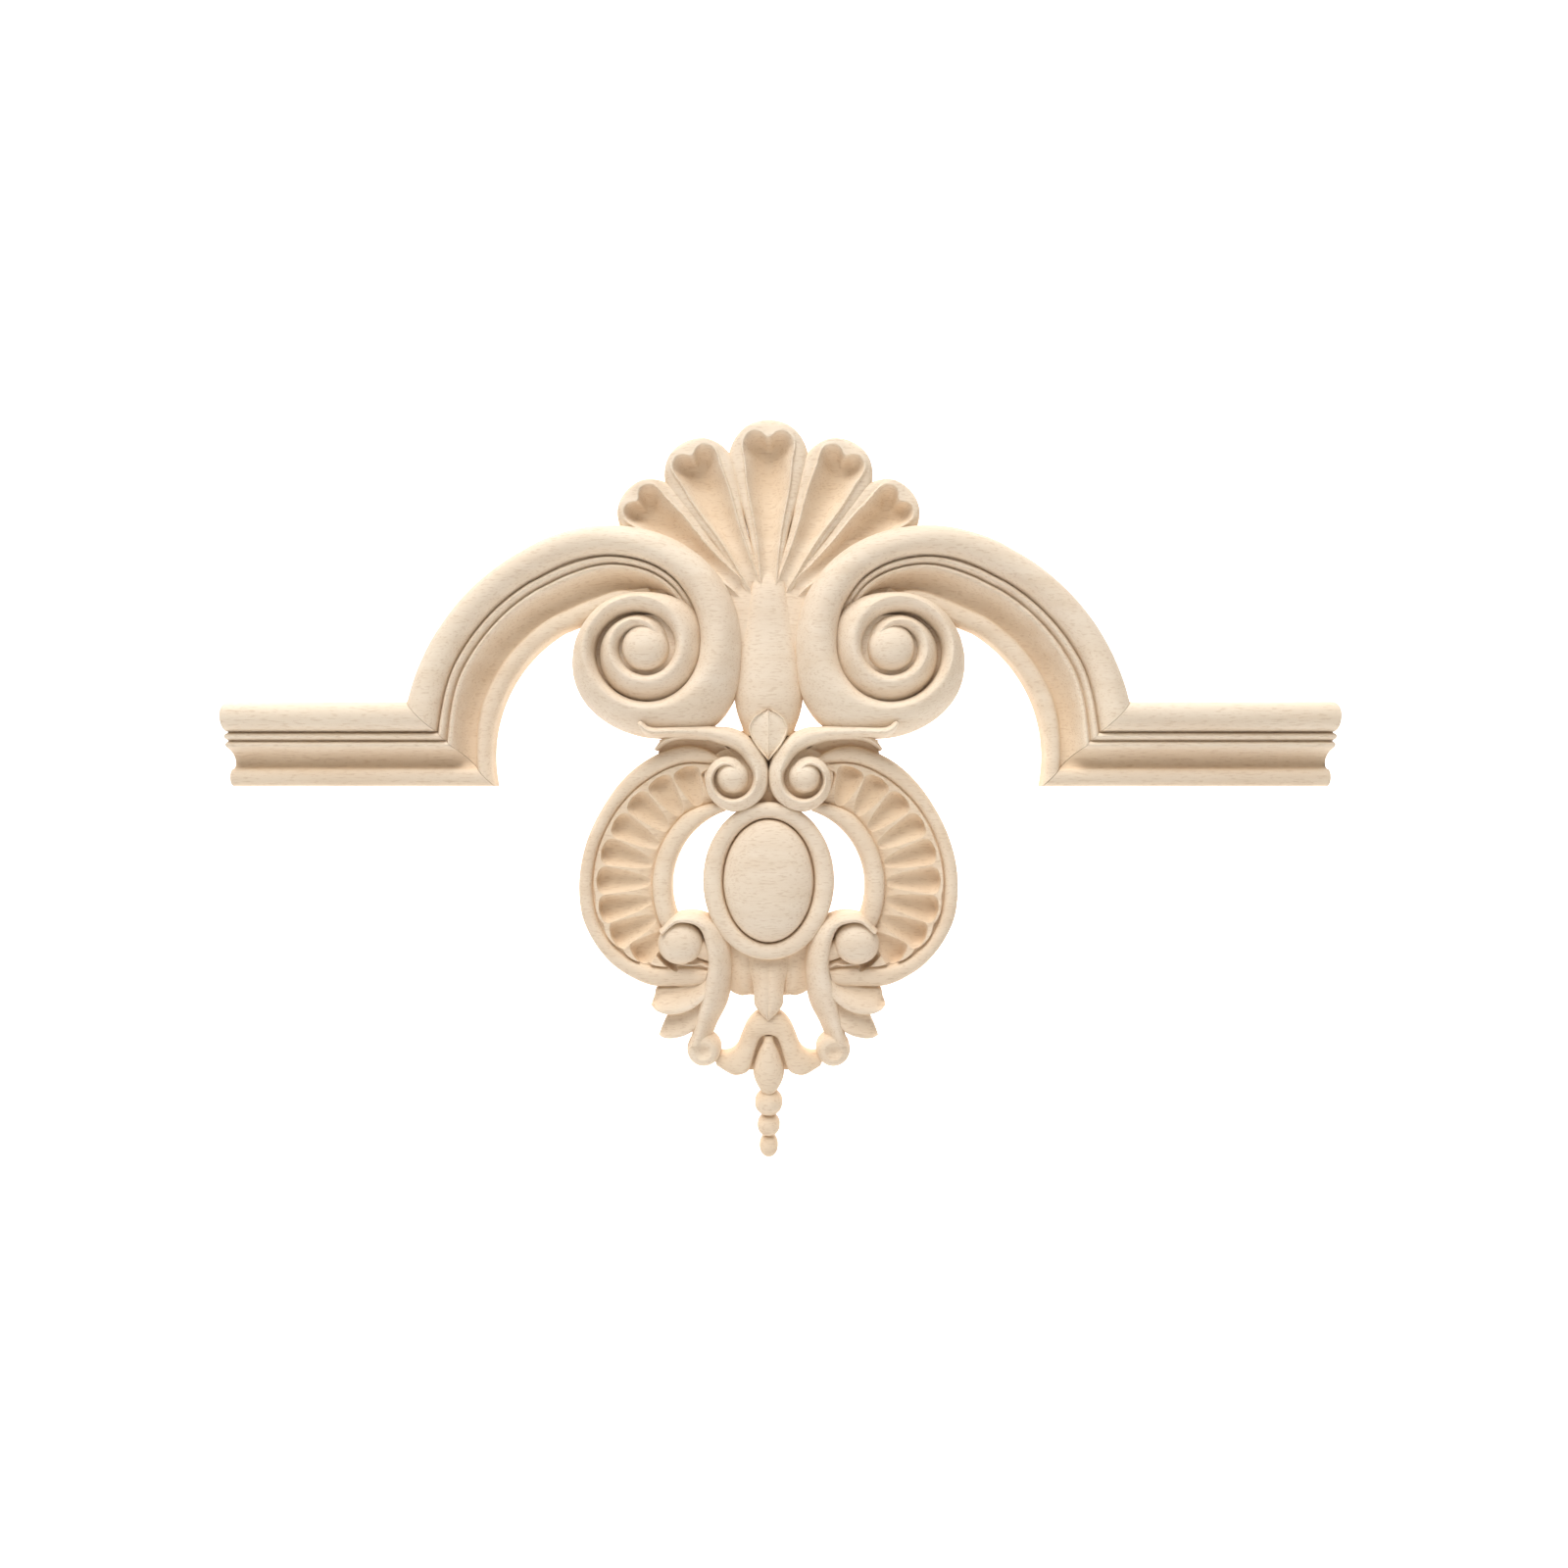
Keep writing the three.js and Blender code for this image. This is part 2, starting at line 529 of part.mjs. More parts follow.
// Lower scroll: starts on the ring, passes over its eye and runs down to a knob
const lowerBand = () => bandBetween(
  [[74, -134.5], [64, -127.2], [51, -129.5], [46, -139], [43.5, -158], [48.5, -180], [53, -200], [57, -215]],
  [[78, -132], [66, -120.6], [47, -120.2], [31.5, -132], [25.8, -157], [28.6, -182], [37, -200], [41.5, -212]],
  (t) => {
    const top = LOWER_HEIGHT * (1 - 0.18 * ease(t * 1.6 - 0.7));
    return [[0, 0.5 * LOWER_HEIGHT], [0.14, 0.84 * top], [0.42, top], [0.75, 0.82 * top], [1, 0.32 * LOWER_HEIGHT]];
  },
  12,
);
const lowerEye = () => boss(LOWER_EYE_X, LOWER_EYE_Z, LOWER_EYE_RADIUS, LOWER_EYE_RADIUS * 0.93, [
  ...domed(0.59 * LOWER_HEIGHT, 1.07 * LOWER_HEIGHT, [0, 0.5, 0.85, 1]), [1.02, 0.36 * LOWER_HEIGHT],
], 12);
const lowerKnob = () => boss(KNOB_X, KNOB_Z, KNOB_RADIUS, KNOB_RADIUS, [
  ...domed(0.36 * LOWER_HEIGHT, 0.77 * LOWER_HEIGHT, [0, 0.6, 1]),
], 12);

// Leaf tongues that spring from the lower scroll toward the outside
const leafProfile = (top) => (t) => {
  const fall = ease(t * 1.5 - 0.5);
  const profile = [[0, 0.45], [0.3, 0.69 - 0.15 * fall], [0.75, 1 - 0.18 * fall], [1, 0.43]];
  return profile.map(([share, height]) => [share, height * top]);
};
const upperLeaf = () => bandBetween(
  [[47, -158], [56, -169], [68, -172], [81, -174.6], [84.6, -181.5]],
  [[40, -170], [47, -180.5], [58.5, -190], [72.5, -193.4], [84, -186]],
  leafProfile(0.77 * LOWER_HEIGHT), 7,
);
const lowerLeaf = () => bandBetween(
  [[45, -176], [55, -188], [65, -194.5], [74.5, -198.5], [78, -204.5]],
  [[42, -192], [50, -203], [59, -208.5], [68.5, -211], [77, -209.5]],
  leafProfile(0.64 * LOWER_HEIGHT), 6,
);

// Plate below the oval, with the drop leaf over it
const lowerPlate = () => uprightBand(drawn([
  [-140, 33, 9.5, 9], [-170, 30, 9, 8], [-178, 27, 8, 6], [-180, 15, 7, 5],
]), [-1, -0.5, 0, 0.5, 1]);
const dropLeaf = () => uprightBand(drawn([
  [-148, 12, 13, 9.5], [-165, 11, 13, 9.5], [-177, 10.2, 13.5, 9], [-185, 10.6, 13, 8], [-191, 7.6, 12, 7.5],
  [-197.2, 0.4, 9, 7],
]), [-1, -0.5, 0, 0.5, 1], 1.2);

// Small leaf over the foot of the stem
const centreLeaf = () => uprightBand(drawn([
  [24.4, 0.4, 19, 19], [21.5, 6.5, 22, 20.5], [17, 11.5, 23, 20.5], [11.5, 14.2, 24, 20.5], [4, 12, 25, 20],
  [-3, 7.8, 25, 19], [-11.5, 0.4, 22, 19],
]), [-1, -0.6, 0, 0.6, 1], 1.1);

// Bell flower with its two petals, its bud and the drops
const bellOuter = drawn([
  [0, -189.9], [9, -192], [15.3, -198.7], [19.3, -207.5], [22.5, -215.2], [27.5, -219.6], [33.5, -220.3], [40, -220],
]);
const bellInner = drawn([
  [0, -208.4], [5.4, -210], [8.4, -216.4], [11.2, -226], [13, -231.6], [17, -236], [25.5, -237.5], [37, -231],
]);
const bellFlower = () => {
  const half = steps(0, 1, 8).map((t) => {
    const [a, b] = [onCurve(bellOuter, t), onCurve(bellInner, t)];
    return [[0, 0.52], [0.3, 0.84], [0.75, 0.81], [1, 0.58]].map(([share, height]) => [
      blend(a[0], b[0], share), blend(a[1], b[1], share), BUD_HEIGHT * (height - 0.19 * ease(t * 3 - 2)),
    ]);
  });
  const otherHalf = half.slice(1).reverse().map((section) => section.map(([x, z, height]) => [-x, z, height]));
  return solidFromSections([...otherHalf, ...half]);
};
const bud = () => uprightBand([
  [0, 0.3, 0.65], [0.1, 0.38, 0.84], [0.26, 0.68, 0.94], [0.465, 0.95, 1], [0.627, 1, 1],
  [0.788, 0.8, 0.94], [0.915, 0.48, 0.81], [1, 0.04, 0.58],
].map(([share, width, height]) => [
  blend(BUD_TOP, PENDANT_TOP - DROP_SEAT, share), width * BUD_HALF_WIDTH, height * BUD_HEIGHT, 0.45 * BUD_HEIGHT,
]), [-1, -0.7, 0, 0.7, 1]);

function drops() {
  let top = PENDANT_TOP;
  return DROP_RADII.map((radius, n) => {
    const length = DROP_LENGTHS[n];
    const middle = top - length / 2;
    top -= length - DROP_OVERLAP;
    return boss(0, middle, radius, length / 2, domed(radius * 0.5, radius * 1.45, [0, 0.6, 1]), 10);
  });
}

// The whole crest: half of it drawn, the other half mirrored, everything joined into one body
const half = [
  archRoll(), innerTurn(), archInside(), voluteEye(), voluteGround(),
  shellLobe(UPPER_LOBE, [0.0625, 0.946, 0.054]),
  shellLobe(LOWER_LOBE, [0.125, 0.946, 0.071]),
  smallScroll(), scrollEye(), scrollChannel(),
  lowerBand(), lowerEye(), lowerKnob(), upperLeaf(), lowerLeaf(),
];
const middle = [
  shellLobe(CENTRE_LOBE, [0, 0.893, 0.067]),
  stem(), ground(), knotGround(), ovalBoss(), lowerPlate(), dropLeaf(), centreLeaf(), bellFlower(), bud(), ...drops(),
];
const hollows = Array.from({ length: HOLLOW_COUNT }, (_, n) => hollowTool(n));
let fluted = toManifold(cartoucheRing());
for (const tool of hollows) fluted = fluted.subtract(toManifold(tool));
const ring = toGeometry(fluted);
const ringShape = {
  points: Array.from({ length: ring.attributes.position.count }, (_, n) => [
    ring.attributes.position.getX(n), ring.attributes.position.getY(n), ring.attributes.position.getZ(n),
  ]),
  faces: Array.from({ length: ring.index.count / 3 }, (_, n) => [0, 1, 2].map((k) => ring.index.getX(n * 3 + k))),
};
let crest = toManifold(ringShape).add(toManifold(mirrored(ringShape)));
for (const shape of middle) crest = crest.add(toManifold(shape));
for (const shape of half) crest = crest.add(toManifold(shape)).add(toManifold(mirrored(shape)));

const group = new THREE.Group();
group.name = 'carved_moulding';
function addPiece(name, geometry, colour) {
  const material = new THREE.MeshStandardMaterial({ color: colour, roughness: 0.75, metalness: 0 });
  material.name = 'raw_wood';
  const mesh = new THREE.Mesh(geometry, material);
  mesh.name = name;
  group.add(mesh);
}
addPiece('carved_crest', toGeometry(crest), '#e6d0b0');
addPiece('straight_moulding_left', toGeometry(toManifold(mirrored(straightMoulding(LEFT_REACH)))), '#ecd8b8');
addPiece('straight_moulding_right', toGeometry(toManifold(straightMoulding(RIGHT_REACH))), '#ecd8b8');

export default group;
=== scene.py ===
# Carved wood moulding: two straight mouldings mitred to a carved crest, in raw sanded wood.
# Sizes are millimetres until a mesh is made. Heights are measured forward from the flat back at y = 0.
# The right half of the carving is drawn and the left half is its mirror image.
import math

import bpy
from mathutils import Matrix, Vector, noise


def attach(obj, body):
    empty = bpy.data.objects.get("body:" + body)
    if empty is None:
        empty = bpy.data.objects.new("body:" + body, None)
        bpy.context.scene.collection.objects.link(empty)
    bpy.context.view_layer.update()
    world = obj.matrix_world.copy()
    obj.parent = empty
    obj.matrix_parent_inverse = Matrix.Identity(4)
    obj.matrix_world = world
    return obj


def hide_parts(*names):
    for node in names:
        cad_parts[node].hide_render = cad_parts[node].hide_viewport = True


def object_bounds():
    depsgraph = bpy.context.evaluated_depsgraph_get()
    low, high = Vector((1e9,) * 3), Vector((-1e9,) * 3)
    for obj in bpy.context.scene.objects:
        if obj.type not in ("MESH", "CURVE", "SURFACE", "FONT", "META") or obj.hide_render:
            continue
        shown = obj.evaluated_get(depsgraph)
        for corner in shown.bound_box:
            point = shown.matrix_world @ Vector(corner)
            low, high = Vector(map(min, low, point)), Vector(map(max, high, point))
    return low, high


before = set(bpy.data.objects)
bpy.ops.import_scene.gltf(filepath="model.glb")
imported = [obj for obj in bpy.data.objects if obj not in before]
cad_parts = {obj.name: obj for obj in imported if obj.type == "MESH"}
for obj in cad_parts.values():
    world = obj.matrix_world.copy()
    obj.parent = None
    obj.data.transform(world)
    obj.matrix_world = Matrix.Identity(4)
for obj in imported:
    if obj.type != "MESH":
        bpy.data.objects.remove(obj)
cad_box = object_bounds()

MM = 0.001

# Sizes of the straight mouldings, as in the CAD
MOULDING_WIDTH = 60
MOULDING_HEIGHT = 30
LEFT_REACH = 382
RIGHT_REACH = 399
GLUE_GAP = 0.3

# Sizes of the arches and the large volutes
ARCH_X, ARCH_Z = 93.7, -8.5
ARCH_INNER_RADIUS = 103.5
ARCH_BREADTH = 62.6
EYE_X, EYE_Z = 86.5, 67.5
EYE_RADIUS = 16.8
EYE_HEIGHT = 33
VOLUTE_HEIGHT = 31
VOLUTE_START = 83.5
VOLUTE_GROUND_RADIUS, VOLUTE_GROUND_HEIGHT = 44, 12

# Sizes of the shell and its stem
SHELL_HEIGHT = 19
STEM_HEIGHT = 20
CENTRE_LOBE, CENTRE_ROOT = (0, 202.5, 28.4), (0, 100, 7.5)
UPPER_LOBE, UPPER_ROOT = (48.5, 192, 25.8), (7, 106, 6)
LOWER_LOBE, LOWER_ROOT = (83, 164, 24.6), (14, 106, 8)

# Sizes of the small scrolls
SCROLL_X, SCROLL_Z = 25.5, -23.5
SCROLL_EYE_RADIUS = 11.7
SCROLL_HEIGHT = 25
SCROLL_REACH = 91

# Sizes of the cartouche ring, its hollows and the oval boss
RING_X, RING_Z = 28.3, -101.2
RING_RADIUS = 107
RING_OPENING_RADIUS = 56.4
RING_OPENING_X = 12.7
HOLLOW_COUNT = 11
HOLLOW_FIRST = 7.4
HOLLOW_STEP = 13.3
OVAL_Z = -97.2
OVAL_HALF_WIDTH = 47
OVAL_HALF_HEIGHT = 56.3
OVAL_HEIGHT = 27
DOME_HALF_WIDTH, DOME_HALF_HEIGHT = 31.8, 43.6

# Sizes of the lower scrolls and the pendant
LOWER_EYE_X, LOWER_EYE_Z = 62.8, -141.8
LOWER_EYE_RADIUS = 16
LOWER_HEIGHT = 22
KNOB_X, KNOB_Z = 46.2, -218
KNOB_RADIUS = 12.2
BUD_HALF_WIDTH = 11
BUD_HEIGHT = 15.5
DROP_RADII = (10, 8.1, 6.7)
DROP_LENGTHS = (18.8, 16, 16)
PENDANT_TOP = -248


def blend(a, b, t):
    """Value between a and b."""
    return a + (b - a) * t


def ease(t):
    """Smooth share from 0 to 1."""
    u = min(1.0, max(0.0, t))
    return u * u * (3 - 2 * u)


def steps(start, end, count):
    """Even steps from start to end, both included."""
    return [blend(start, end, i / count) for i in range(count + 1)]


def through(stations, place):
    """Smooth value at a place, through (place, value) stations."""
    i = 0
    while i < len(stations) - 2 and place > stations[i + 1][0]:
        i += 1
    (p0, v0), (p1, v1) = stations[i], stations[i + 1]
    before, after = stations[max(0, i - 1)], stations[min(len(stations) - 1, i + 2)]
    span = p1 - p0
    slope0 = (v1 - before[1]) / (p1 - before[0]) * span
    slope1 = (after[1] - v0) / (after[0] - p0) * span
    t = min(1.0, max(0.0, (place - p0) / span))
    t2, t3 = t * t, t * t * t
    near, far = 2 * t3 - 3 * t2 + 1, 3 * t2 - 2 * t3
    return v0 * near + slope0 * (t3 - 2 * t2 + t) + v1 * far + slope1 * (t3 - t2)


def on_curve(points, t):
    """Smooth point on a curve drawn through a few points."""
    last = len(points) - 1
    return [through([(i / last, p[k]) for i, p in enumerate(points)], t) for k in range(len(points[0]))]


def solid_from_sections(name, sections, closed=False, seam=False, base=0.0, mirror=False):
    """Closed body from sections of (x, z, height), joined side by side and closed down to a level base."""
    count = len(sections[0])
    across = count + 2
    side = -1 if mirror else 1
    points = []
    for section in sections:
        points.append((section[0][0], base, section[0][1]))
        points.extend((x, height, z) for x, z, height in section)
        points.append((section[-1][0], base, section[-1][1]))
    faces = []
    for i in range(len(sections) if closed else len(sections) - 1):
        row, after = i * across, (i + 1) % len(sections) * across
        for j in range(1 if seam else 0, across):
            k = (j + 1) % across
            faces.append((row + j, row + k, after + k, after + j))
    if not closed:
        last = (len(sections) - 1) * across
        faces.append(tuple(range(across - 1, -1, -1)))
        faces.append(tuple(range(last, last + across)))
    return body_from(name, [(side * x * MM, -h * MM, z * MM) for x, h, z in points], faces)


def body_from(name, points, faces):
    """Mesh object with coinciding points welded, vanished faces dropped and every face turned outward."""
    seen, kept, index = {}, [], []
    for p in points:
        key = tuple(round(v * 1e6) for v in p)
        if key not in seen:
            seen[key] = len(kept)
            kept.append(p)
        index.append(seen[key])
    solid = []
    for face in faces:
        ring = []
        for n in face:
            if not ring or index[n] != ring[-1]:
                ring.append(index[n])
        if len(ring) > 1 and ring[0] == ring[-1]:
            ring.pop()
        if len(ring) > 2:
            solid.append(ring)
    volume = 0.0
    for ring in solid:
        a = Vector(kept[ring[0]])
        for m in range(1, len(ring) - 1):
            volume += a.dot(Vector(kept[ring[m]]).cross(Vector(kept[ring[m + 1]])))
    if volume < 0:
        solid = [ring[::-1] for ring in solid]
    mesh = bpy.data.meshes.new(name)
    mesh.from_pydata(kept, [], solid)
    mesh.validate()
    return bpy.data.objects.new(name, mesh)


# Profile of the moulding as (distance from the inner edge, height): edge, cove and two beads under the roll
INNER_PROFILE = [
    (0, 11), (0.8, 13), (2.6, 14.7), (5.5, 15.6), (8.6, 15.4), (10.8, 14.3), (12.1, 12.6), (12.8, 9.8),
    (14.4, 8.1), (17, 7.7), (20, 8.6), (22.8, 11), (25.2, 14.6), (26.8, 18.4), (27.4, 20.2),
    (28.1, 21.4), (29.4, 22), (30.6, 21.3), (31.2, 19.8), (31.6, 18.1), (32.2, 17.8), (32.8, 19.4),
    (33.3, 21.8), (34.2, 23.3), (35.2, 23.7), (36.3, 23.1), (37.1, 21.6), (37.5, 19.6), (38.2, 18.2),
    (41.5, 18),
]
ROLL_FOOT, ROLL_CREST = 38.6, 49.5
ROLL_FOOT_HEIGHT, ROLL_EDGE_HEIGHT = 19, 15
ROLL_PLACES = [-math.cos(math.radians(a)) for a in range(0, 181, 9)]


def roll_height(place, foot, crest, edge, roundness):
    """Height across a roll: place -1 is its foot, 0 its crest and 1 its outer edge."""
    if place < 0:
        return foot + (crest - foot) * math.sqrt(max(0.0, 1 - place * place))
    return edge + (crest - edge) * (1 - min(1.0, place) ** roundness) ** (1 / roundness)


def roll_point(place, foot, crest, edge):
    """Distance across a roll at a place from -1 to 1."""
    return blend(crest, foot, -place) if place < 0 else blend(crest, edge, place)


LOW, HIGH = -MOULDING_WIDTH / 2, MOULDING_WIDTH / 2
MITRE_LOW = ARCH_X + math.sqrt(ARCH_INNER_RADIUS ** 2 - (LOW - ARCH_Z) ** 2)
MITRE_HIGH = ARCH_X + math.sqrt((ARCH_INNER_RADIUS + ARCH_BREADTH) ** 2 - (HIGH - ARCH_Z) ** 2)
ARCH_END = 31


def mitre_x(across):
    """Where a line of the moulding meets the mitre."""
    return blend(MITRE_LOW, MITRE_HIGH, across / MOULDING_WIDTH)


def arch_radius(across):
    """Radius of a line of the moulding in the arch."""
    return ARCH_INNER_RADIUS + across * ARCH_BREADTH / MOULDING_WIDTH


mitre_bearings = {}


def mitre_bearing(across):
    """Bearing from the arch's centre at which a line of the moulding meets the mitre."""
    if across not in mitre_bearings:
        radius, low, high = arch_radius(across), 40.0, 140.0
        for _ in range(40):
            middle = (low + high) / 2
            x = ARCH_X + radius * math.sin(math.radians(middle))
            z = ARCH_Z + radius * math.cos(math.radians(middle))
            if z > blend(LOW, HIGH, (x - MITRE_LOW) / (MITRE_HIGH - MITRE_LOW)):
                low = middle
            else:
                high = middle
        mitre_bearings[across] = low
    return mitre_bearings[across]


def arch_point(across, travel):
    """Point of the arch, from the mitre (travel 0) to its last radial section (travel 1)."""
    radius, start = arch_radius(across), mitre_bearing(across)
    settle = 1 - ease(travel / 0.4)
    x0 = ARCH_X + radius * math.sin(math.radians(start))
    z0 = ARCH_Z + radius * math.cos(math.radians(start))
    bearing = math.radians(blend(start, ARCH_END, travel))
    return (ARCH_X + radius * math.sin(bearing) + (mitre_x(across) - x0) * settle,
            ARCH_Z + radius * math.cos(bearing) + (LOW + across - z0) * settle)


def from_eye(turn, distance):
    """Turn 0 points up from the eye and turns toward the middle of the carving."""
    return EYE_X - distance * math.sin(math.radians(turn)), EYE_Z + distance * math.cos(math.radians(turn))


def eye_to_arch(turn, across):
    """Distance from the eye to a line of the arch, at a turn."""
    dx, dz = -math.sin(math.radians(turn)), math.cos(math.radians(turn))
    ex, ez = EYE_X - ARCH_X, EYE_Z - ARCH_Z
    along = ex * dx + ez * dz
    return -along + math.sqrt(along * along - ex * ex - ez * ez + arch_radius(across) ** 2)


# Radii of the volute at its turns, as shares of the radius where the arch becomes the volute
TURN_START, TURN_SPLIT, TURN_END = -50, 310, 790


def spiral(across, shares):
    """Radii of one line of the volute: the arch first, then shares of the starting radius."""
    arch = [(turn, eye_to_arch(turn, across)) for turn in (TURN_START, -30)]
    return arch + [(turn, share * VOLUTE_START) for turn, share in shares]


FOOT_RADII = spiral(ROLL_FOOT, [
    (0, 0.73), (54, 0.52), (90, 0.455), (180, 0.449), (270, 0.435), (310, 0.375), (360, 0.3), (450, 0.249),
    (540, 0.228), (630, 0.225), (675, 0.2), (720, 0.15), (760, 0.08), (790, 0.03)])
CREST_RADII = spiral(ROLL_CREST, [
    (0, 0.849), (45, 0.705), (90, 0.624), (180, 0.527), (270, 0.507), (310, 0.46), (360, 0.412), (450, 0.327),
    (540, 0.3), (630, 0.29), (675, 0.265), (720, 0.21), (760, 0.15), (790, 0.1)])
EDGE_RADII = spiral(MOULDING_WIDTH, [
    (0, 1.01), (45, 0.875), (90, 0.81), (122, 0.855), (140, 0.862), (165, 0.78), (202, 0.722), (238, 0.688),
    (274, 0.618), (310, 0.55), (360, 0.483), (414, 0.52), (450, 0.465), (540, 0.455), (630, 0.395),
    (675, 0.335),
    (720, 0.28), (760, 0.235), (790, 0.2)])
FOOT_HEIGHTS = [(-50, 19), (0, 19), (90, 17), (180, 16), (270, 17), (360, 18.5), (450, 19), (630, 19),
                (720, 22), (790, 26)]
CREST_HEIGHTS = [(-50, 0), (0, 0.2), (90, 1), (640, 1), (720, 0), (790, -2)]
EDGE_HEIGHTS = [(-50, 15), (0, 14.5), (90, 13.5), (180, 13), (300, 14), (360, 15), (675, 16), (790, 19)]


def roll_section(turn):
    """Section of the volute roll at a turn."""
    foot, crest, edge = (through(radii, turn) for radii in (FOOT_RADII, CREST_RADII, EDGE_RADII))
    top = MOULDING_HEIGHT + (VOLUTE_HEIGHT - MOULDING_HEIGHT) * through(CREST_HEIGHTS, turn)
    low, rim = through(FOOT_HEIGHTS, turn), through(EDGE_HEIGHTS, turn)
    roundness = blend(2.1, 1.35, ease((turn - 20) / 120))
    return [(*from_eye(turn, roll_point(p, foot, crest, edge)), roll_height(p, low, top, rim, roundness))
            for p in ROLL_PLACES]


def arch_roll(mirror):
    """Roll of the arch, which becomes the outer turn of the volute."""
    arch = [[(*arch_point(roll_point(p, ROLL_FOOT, ROLL_CREST, MOULDING_WIDTH), travel),
              roll_height(p, ROLL_FOOT_HEIGHT, MOULDING_HEIGHT, ROLL_EDGE_HEIGHT, 2.1)) for p in ROLL_PLACES]
            for travel in steps(0, 1, 40)]
    turns = [roll_section(turn) for turn in steps(TURN_START, TURN_SPLIT, 120)]
    return solid_from_sections("arch_roll", arch + turns, mirror=mirror)


def inner_turn(mirror):
    """Second and third turns of the volute, down into its eye."""
    turns = [roll_section(turn) for turn in steps(TURN_SPLIT, TURN_END, 140)]
    return solid_from_sections("inner_turn", turns, mirror=mirror)


def arch_inside(mirror):
    """Beads and cove of the arch, which run out beneath the second turn of the volute."""
    arch = [[(*arch_point(across, travel), height) for across, height in INNER_PROFILE]
            for travel in steps(0, 1, 36)]
    hidden = []
    for turn in steps(TURN_START, 58, 34):
        squeeze = blend(1, 0.72, ease((turn - TURN_START) / 100))
        fade = ease((turn - 15) / 40)
        section = []
        for across, height in INNER_PROFILE:
            ruled = eye_to_arch(turn, across)
            drawn = through(FOOT_RADII, turn) - (ROLL_FOOT - across) * squeeze
            distance = blend(ruled, drawn, ease((turn + 50) / 35))
            section.append((*from_eye(turn, distance), blend(height, 13.5, fade)))
        hidden.append(section)
    return solid_from_sections("arch_inside", arch + hidden, mirror=mirror)


def boss(name, x, z, half_width, half_height, profile, count, mirror=False):
    """Round boss: closed sections from its middle to its rim, as (share of the radius, height)."""
    sections = []
    for i in range(count):
        bearing = math.tau * i / count
        sections.append([(x + half_width * share * math.sin(bearing),
                          z + half_height * share * math.cos(bearing), height)
                         for share, height in profile])
    return solid_from_sections(name, sections, closed=True, mirror=mirror)


def domed(edge, top, count):
    """Profile of a dome, from its middle to its rim."""
    return [(math.sin(a), edge + (top - edge) * math.cos(a)) for a in steps(0, math.pi / 2, count)]


def volute_eye(mirror):
    """Domed eye of the volute with a low step round it."""
    dome = [(0.97 * share, height) for share, height in domed(22, EYE_HEIGHT, 12)]
    return boss("volute_eye", EYE_X, EYE_Z, EYE_RADIUS, EYE_RADIUS, dome + [(1.0, 20), (1.42, 18.5)], 56,
                mirror)


def volute_ground(mirror):
    """Flat ground behind the turns of the volute."""
    return boss("volute_ground", EYE_X, EYE_Z, VOLUTE_GROUND_RADIUS, VOLUTE_GROUND_RADIUS,
                [(0, VOLUTE_GROUND_HEIGHT), (1, VOLUTE_GROUND_HEIGHT)], 24, mirror)


# Half width of a lobe's hollow along its side, then its reach round the tip, as shares of the lobe's radius
HOLLOW_SIDE = [(0, 0.1), (0.15, 0.17), (0.31, 0.215), (0.52, 0.31), (0.78, 0.49), (1, 0.575)]
HOLLOW_TIP = [(0, 0.5), (8, 0.535), (17, 0.65), (28, 0.745), (40, 0.77), (54, 0.75), (72, 0.65), (90, 0.575)]


def shell_lobe(lobe, root, mirror=False):
    """One lobe of the shell: a hollow petal with a thin fillet and a lip that dips into its deep tip."""
    x, z, radius = lobe
    root_x, root_z, root_half = root
    length = math.hypot(x - root_x, z - root_z)
    ax, az = (x - root_x) / length, (z - root_z) / length

    def section(along, bearing):
        c, s = math.cos(math.radians(bearing)), math.sin(math.radians(bearing))
        dx, dz = ax * c + az * s, az * c - ax * s
        share = along / length
        tip = 1 - ease((abs(bearing) - 30) / 50)
        if share < 1:
            inner = max(root_half * 0.6 * (1 - share), radius * through(HOLLOW_SIDE, share))
            half = inner + blend(4.2, radius - radius * 0.575, share ** 2.2)
        else:
            inner, half = radius * through(HOLLOW_TIP, abs(bearing)), radius
        top = through([(0, 12.5), (0.08, 16), (0.2, 17.4), (0.4, 18), (1, SHELL_HEIGHT)], share)
        floor = through([(0, 10), (0.1, 13.4), (0.2, 14.2), (0.35, 12.6), (0.62, 9.2), (0.85, 6.4),
                         (1, 4.8)], share)
        power = blend(2.3, 4.5, tip)
        profile = [(inner * q, floor + (top - 0.9 - floor) * q ** power)
                   for q in (0, 0.2, 0.4, 0.55, 0.68, 0.78, 0.86, 0.93, 0.97)]
        fillet = blend(1.5, 2.4, tip)
        groove = blend(min(1.7, 0.5 + share * 3), 0.1, tip)
        profile += [(inner, top - 0.7), (inner + fillet * 0.25, top - 0.1), (inner + fillet * 0.6, top),
                    (inner + fillet, top - 0.3 - groove * 0.4), (inner + fillet * 1.4, top - 0.4 - groove)]
        start, low = inner + fillet * 1.4, top - 0.4 - groove
        profile += [(blend(start, half, q), low - (low - 12.2) * (1 - math.sqrt(1 - min(1, q) ** 2.4)))
                    for q in (0.3, 0.55, 0.75, 0.88, 0.96, 1)]
        return [(root_x + ax * along + dx * d, root_z + az * along + dz * d, height) for d, height in profile]

    def side(bearing):
        return [section(along, bearing) for along in steps(0, length, 28)[:-1]]

    sections = side(-90) + [section(length, b) for b in steps(-90, 90, 72)] + side(90)[::-1]
    return solid_from_sections("shell_lobe", sections, seam=True, mirror=mirror)


def upright_band(name, stations, roundness=2.0, places=21):
    """Band along z, alike on both sides: stations of (z, half width, middle height, edge height)."""
    spread = [math.sin(math.radians(a)) for a in steps(-90, 90, places - 1)]
    return solid_from_sections(name, [
        [(half * p, z, edge + (top - edge) * max(0.0, 1 - abs(p) ** roundness) ** (1 / roundness))
         for p in spread]
        for z, half, top, edge in stations])


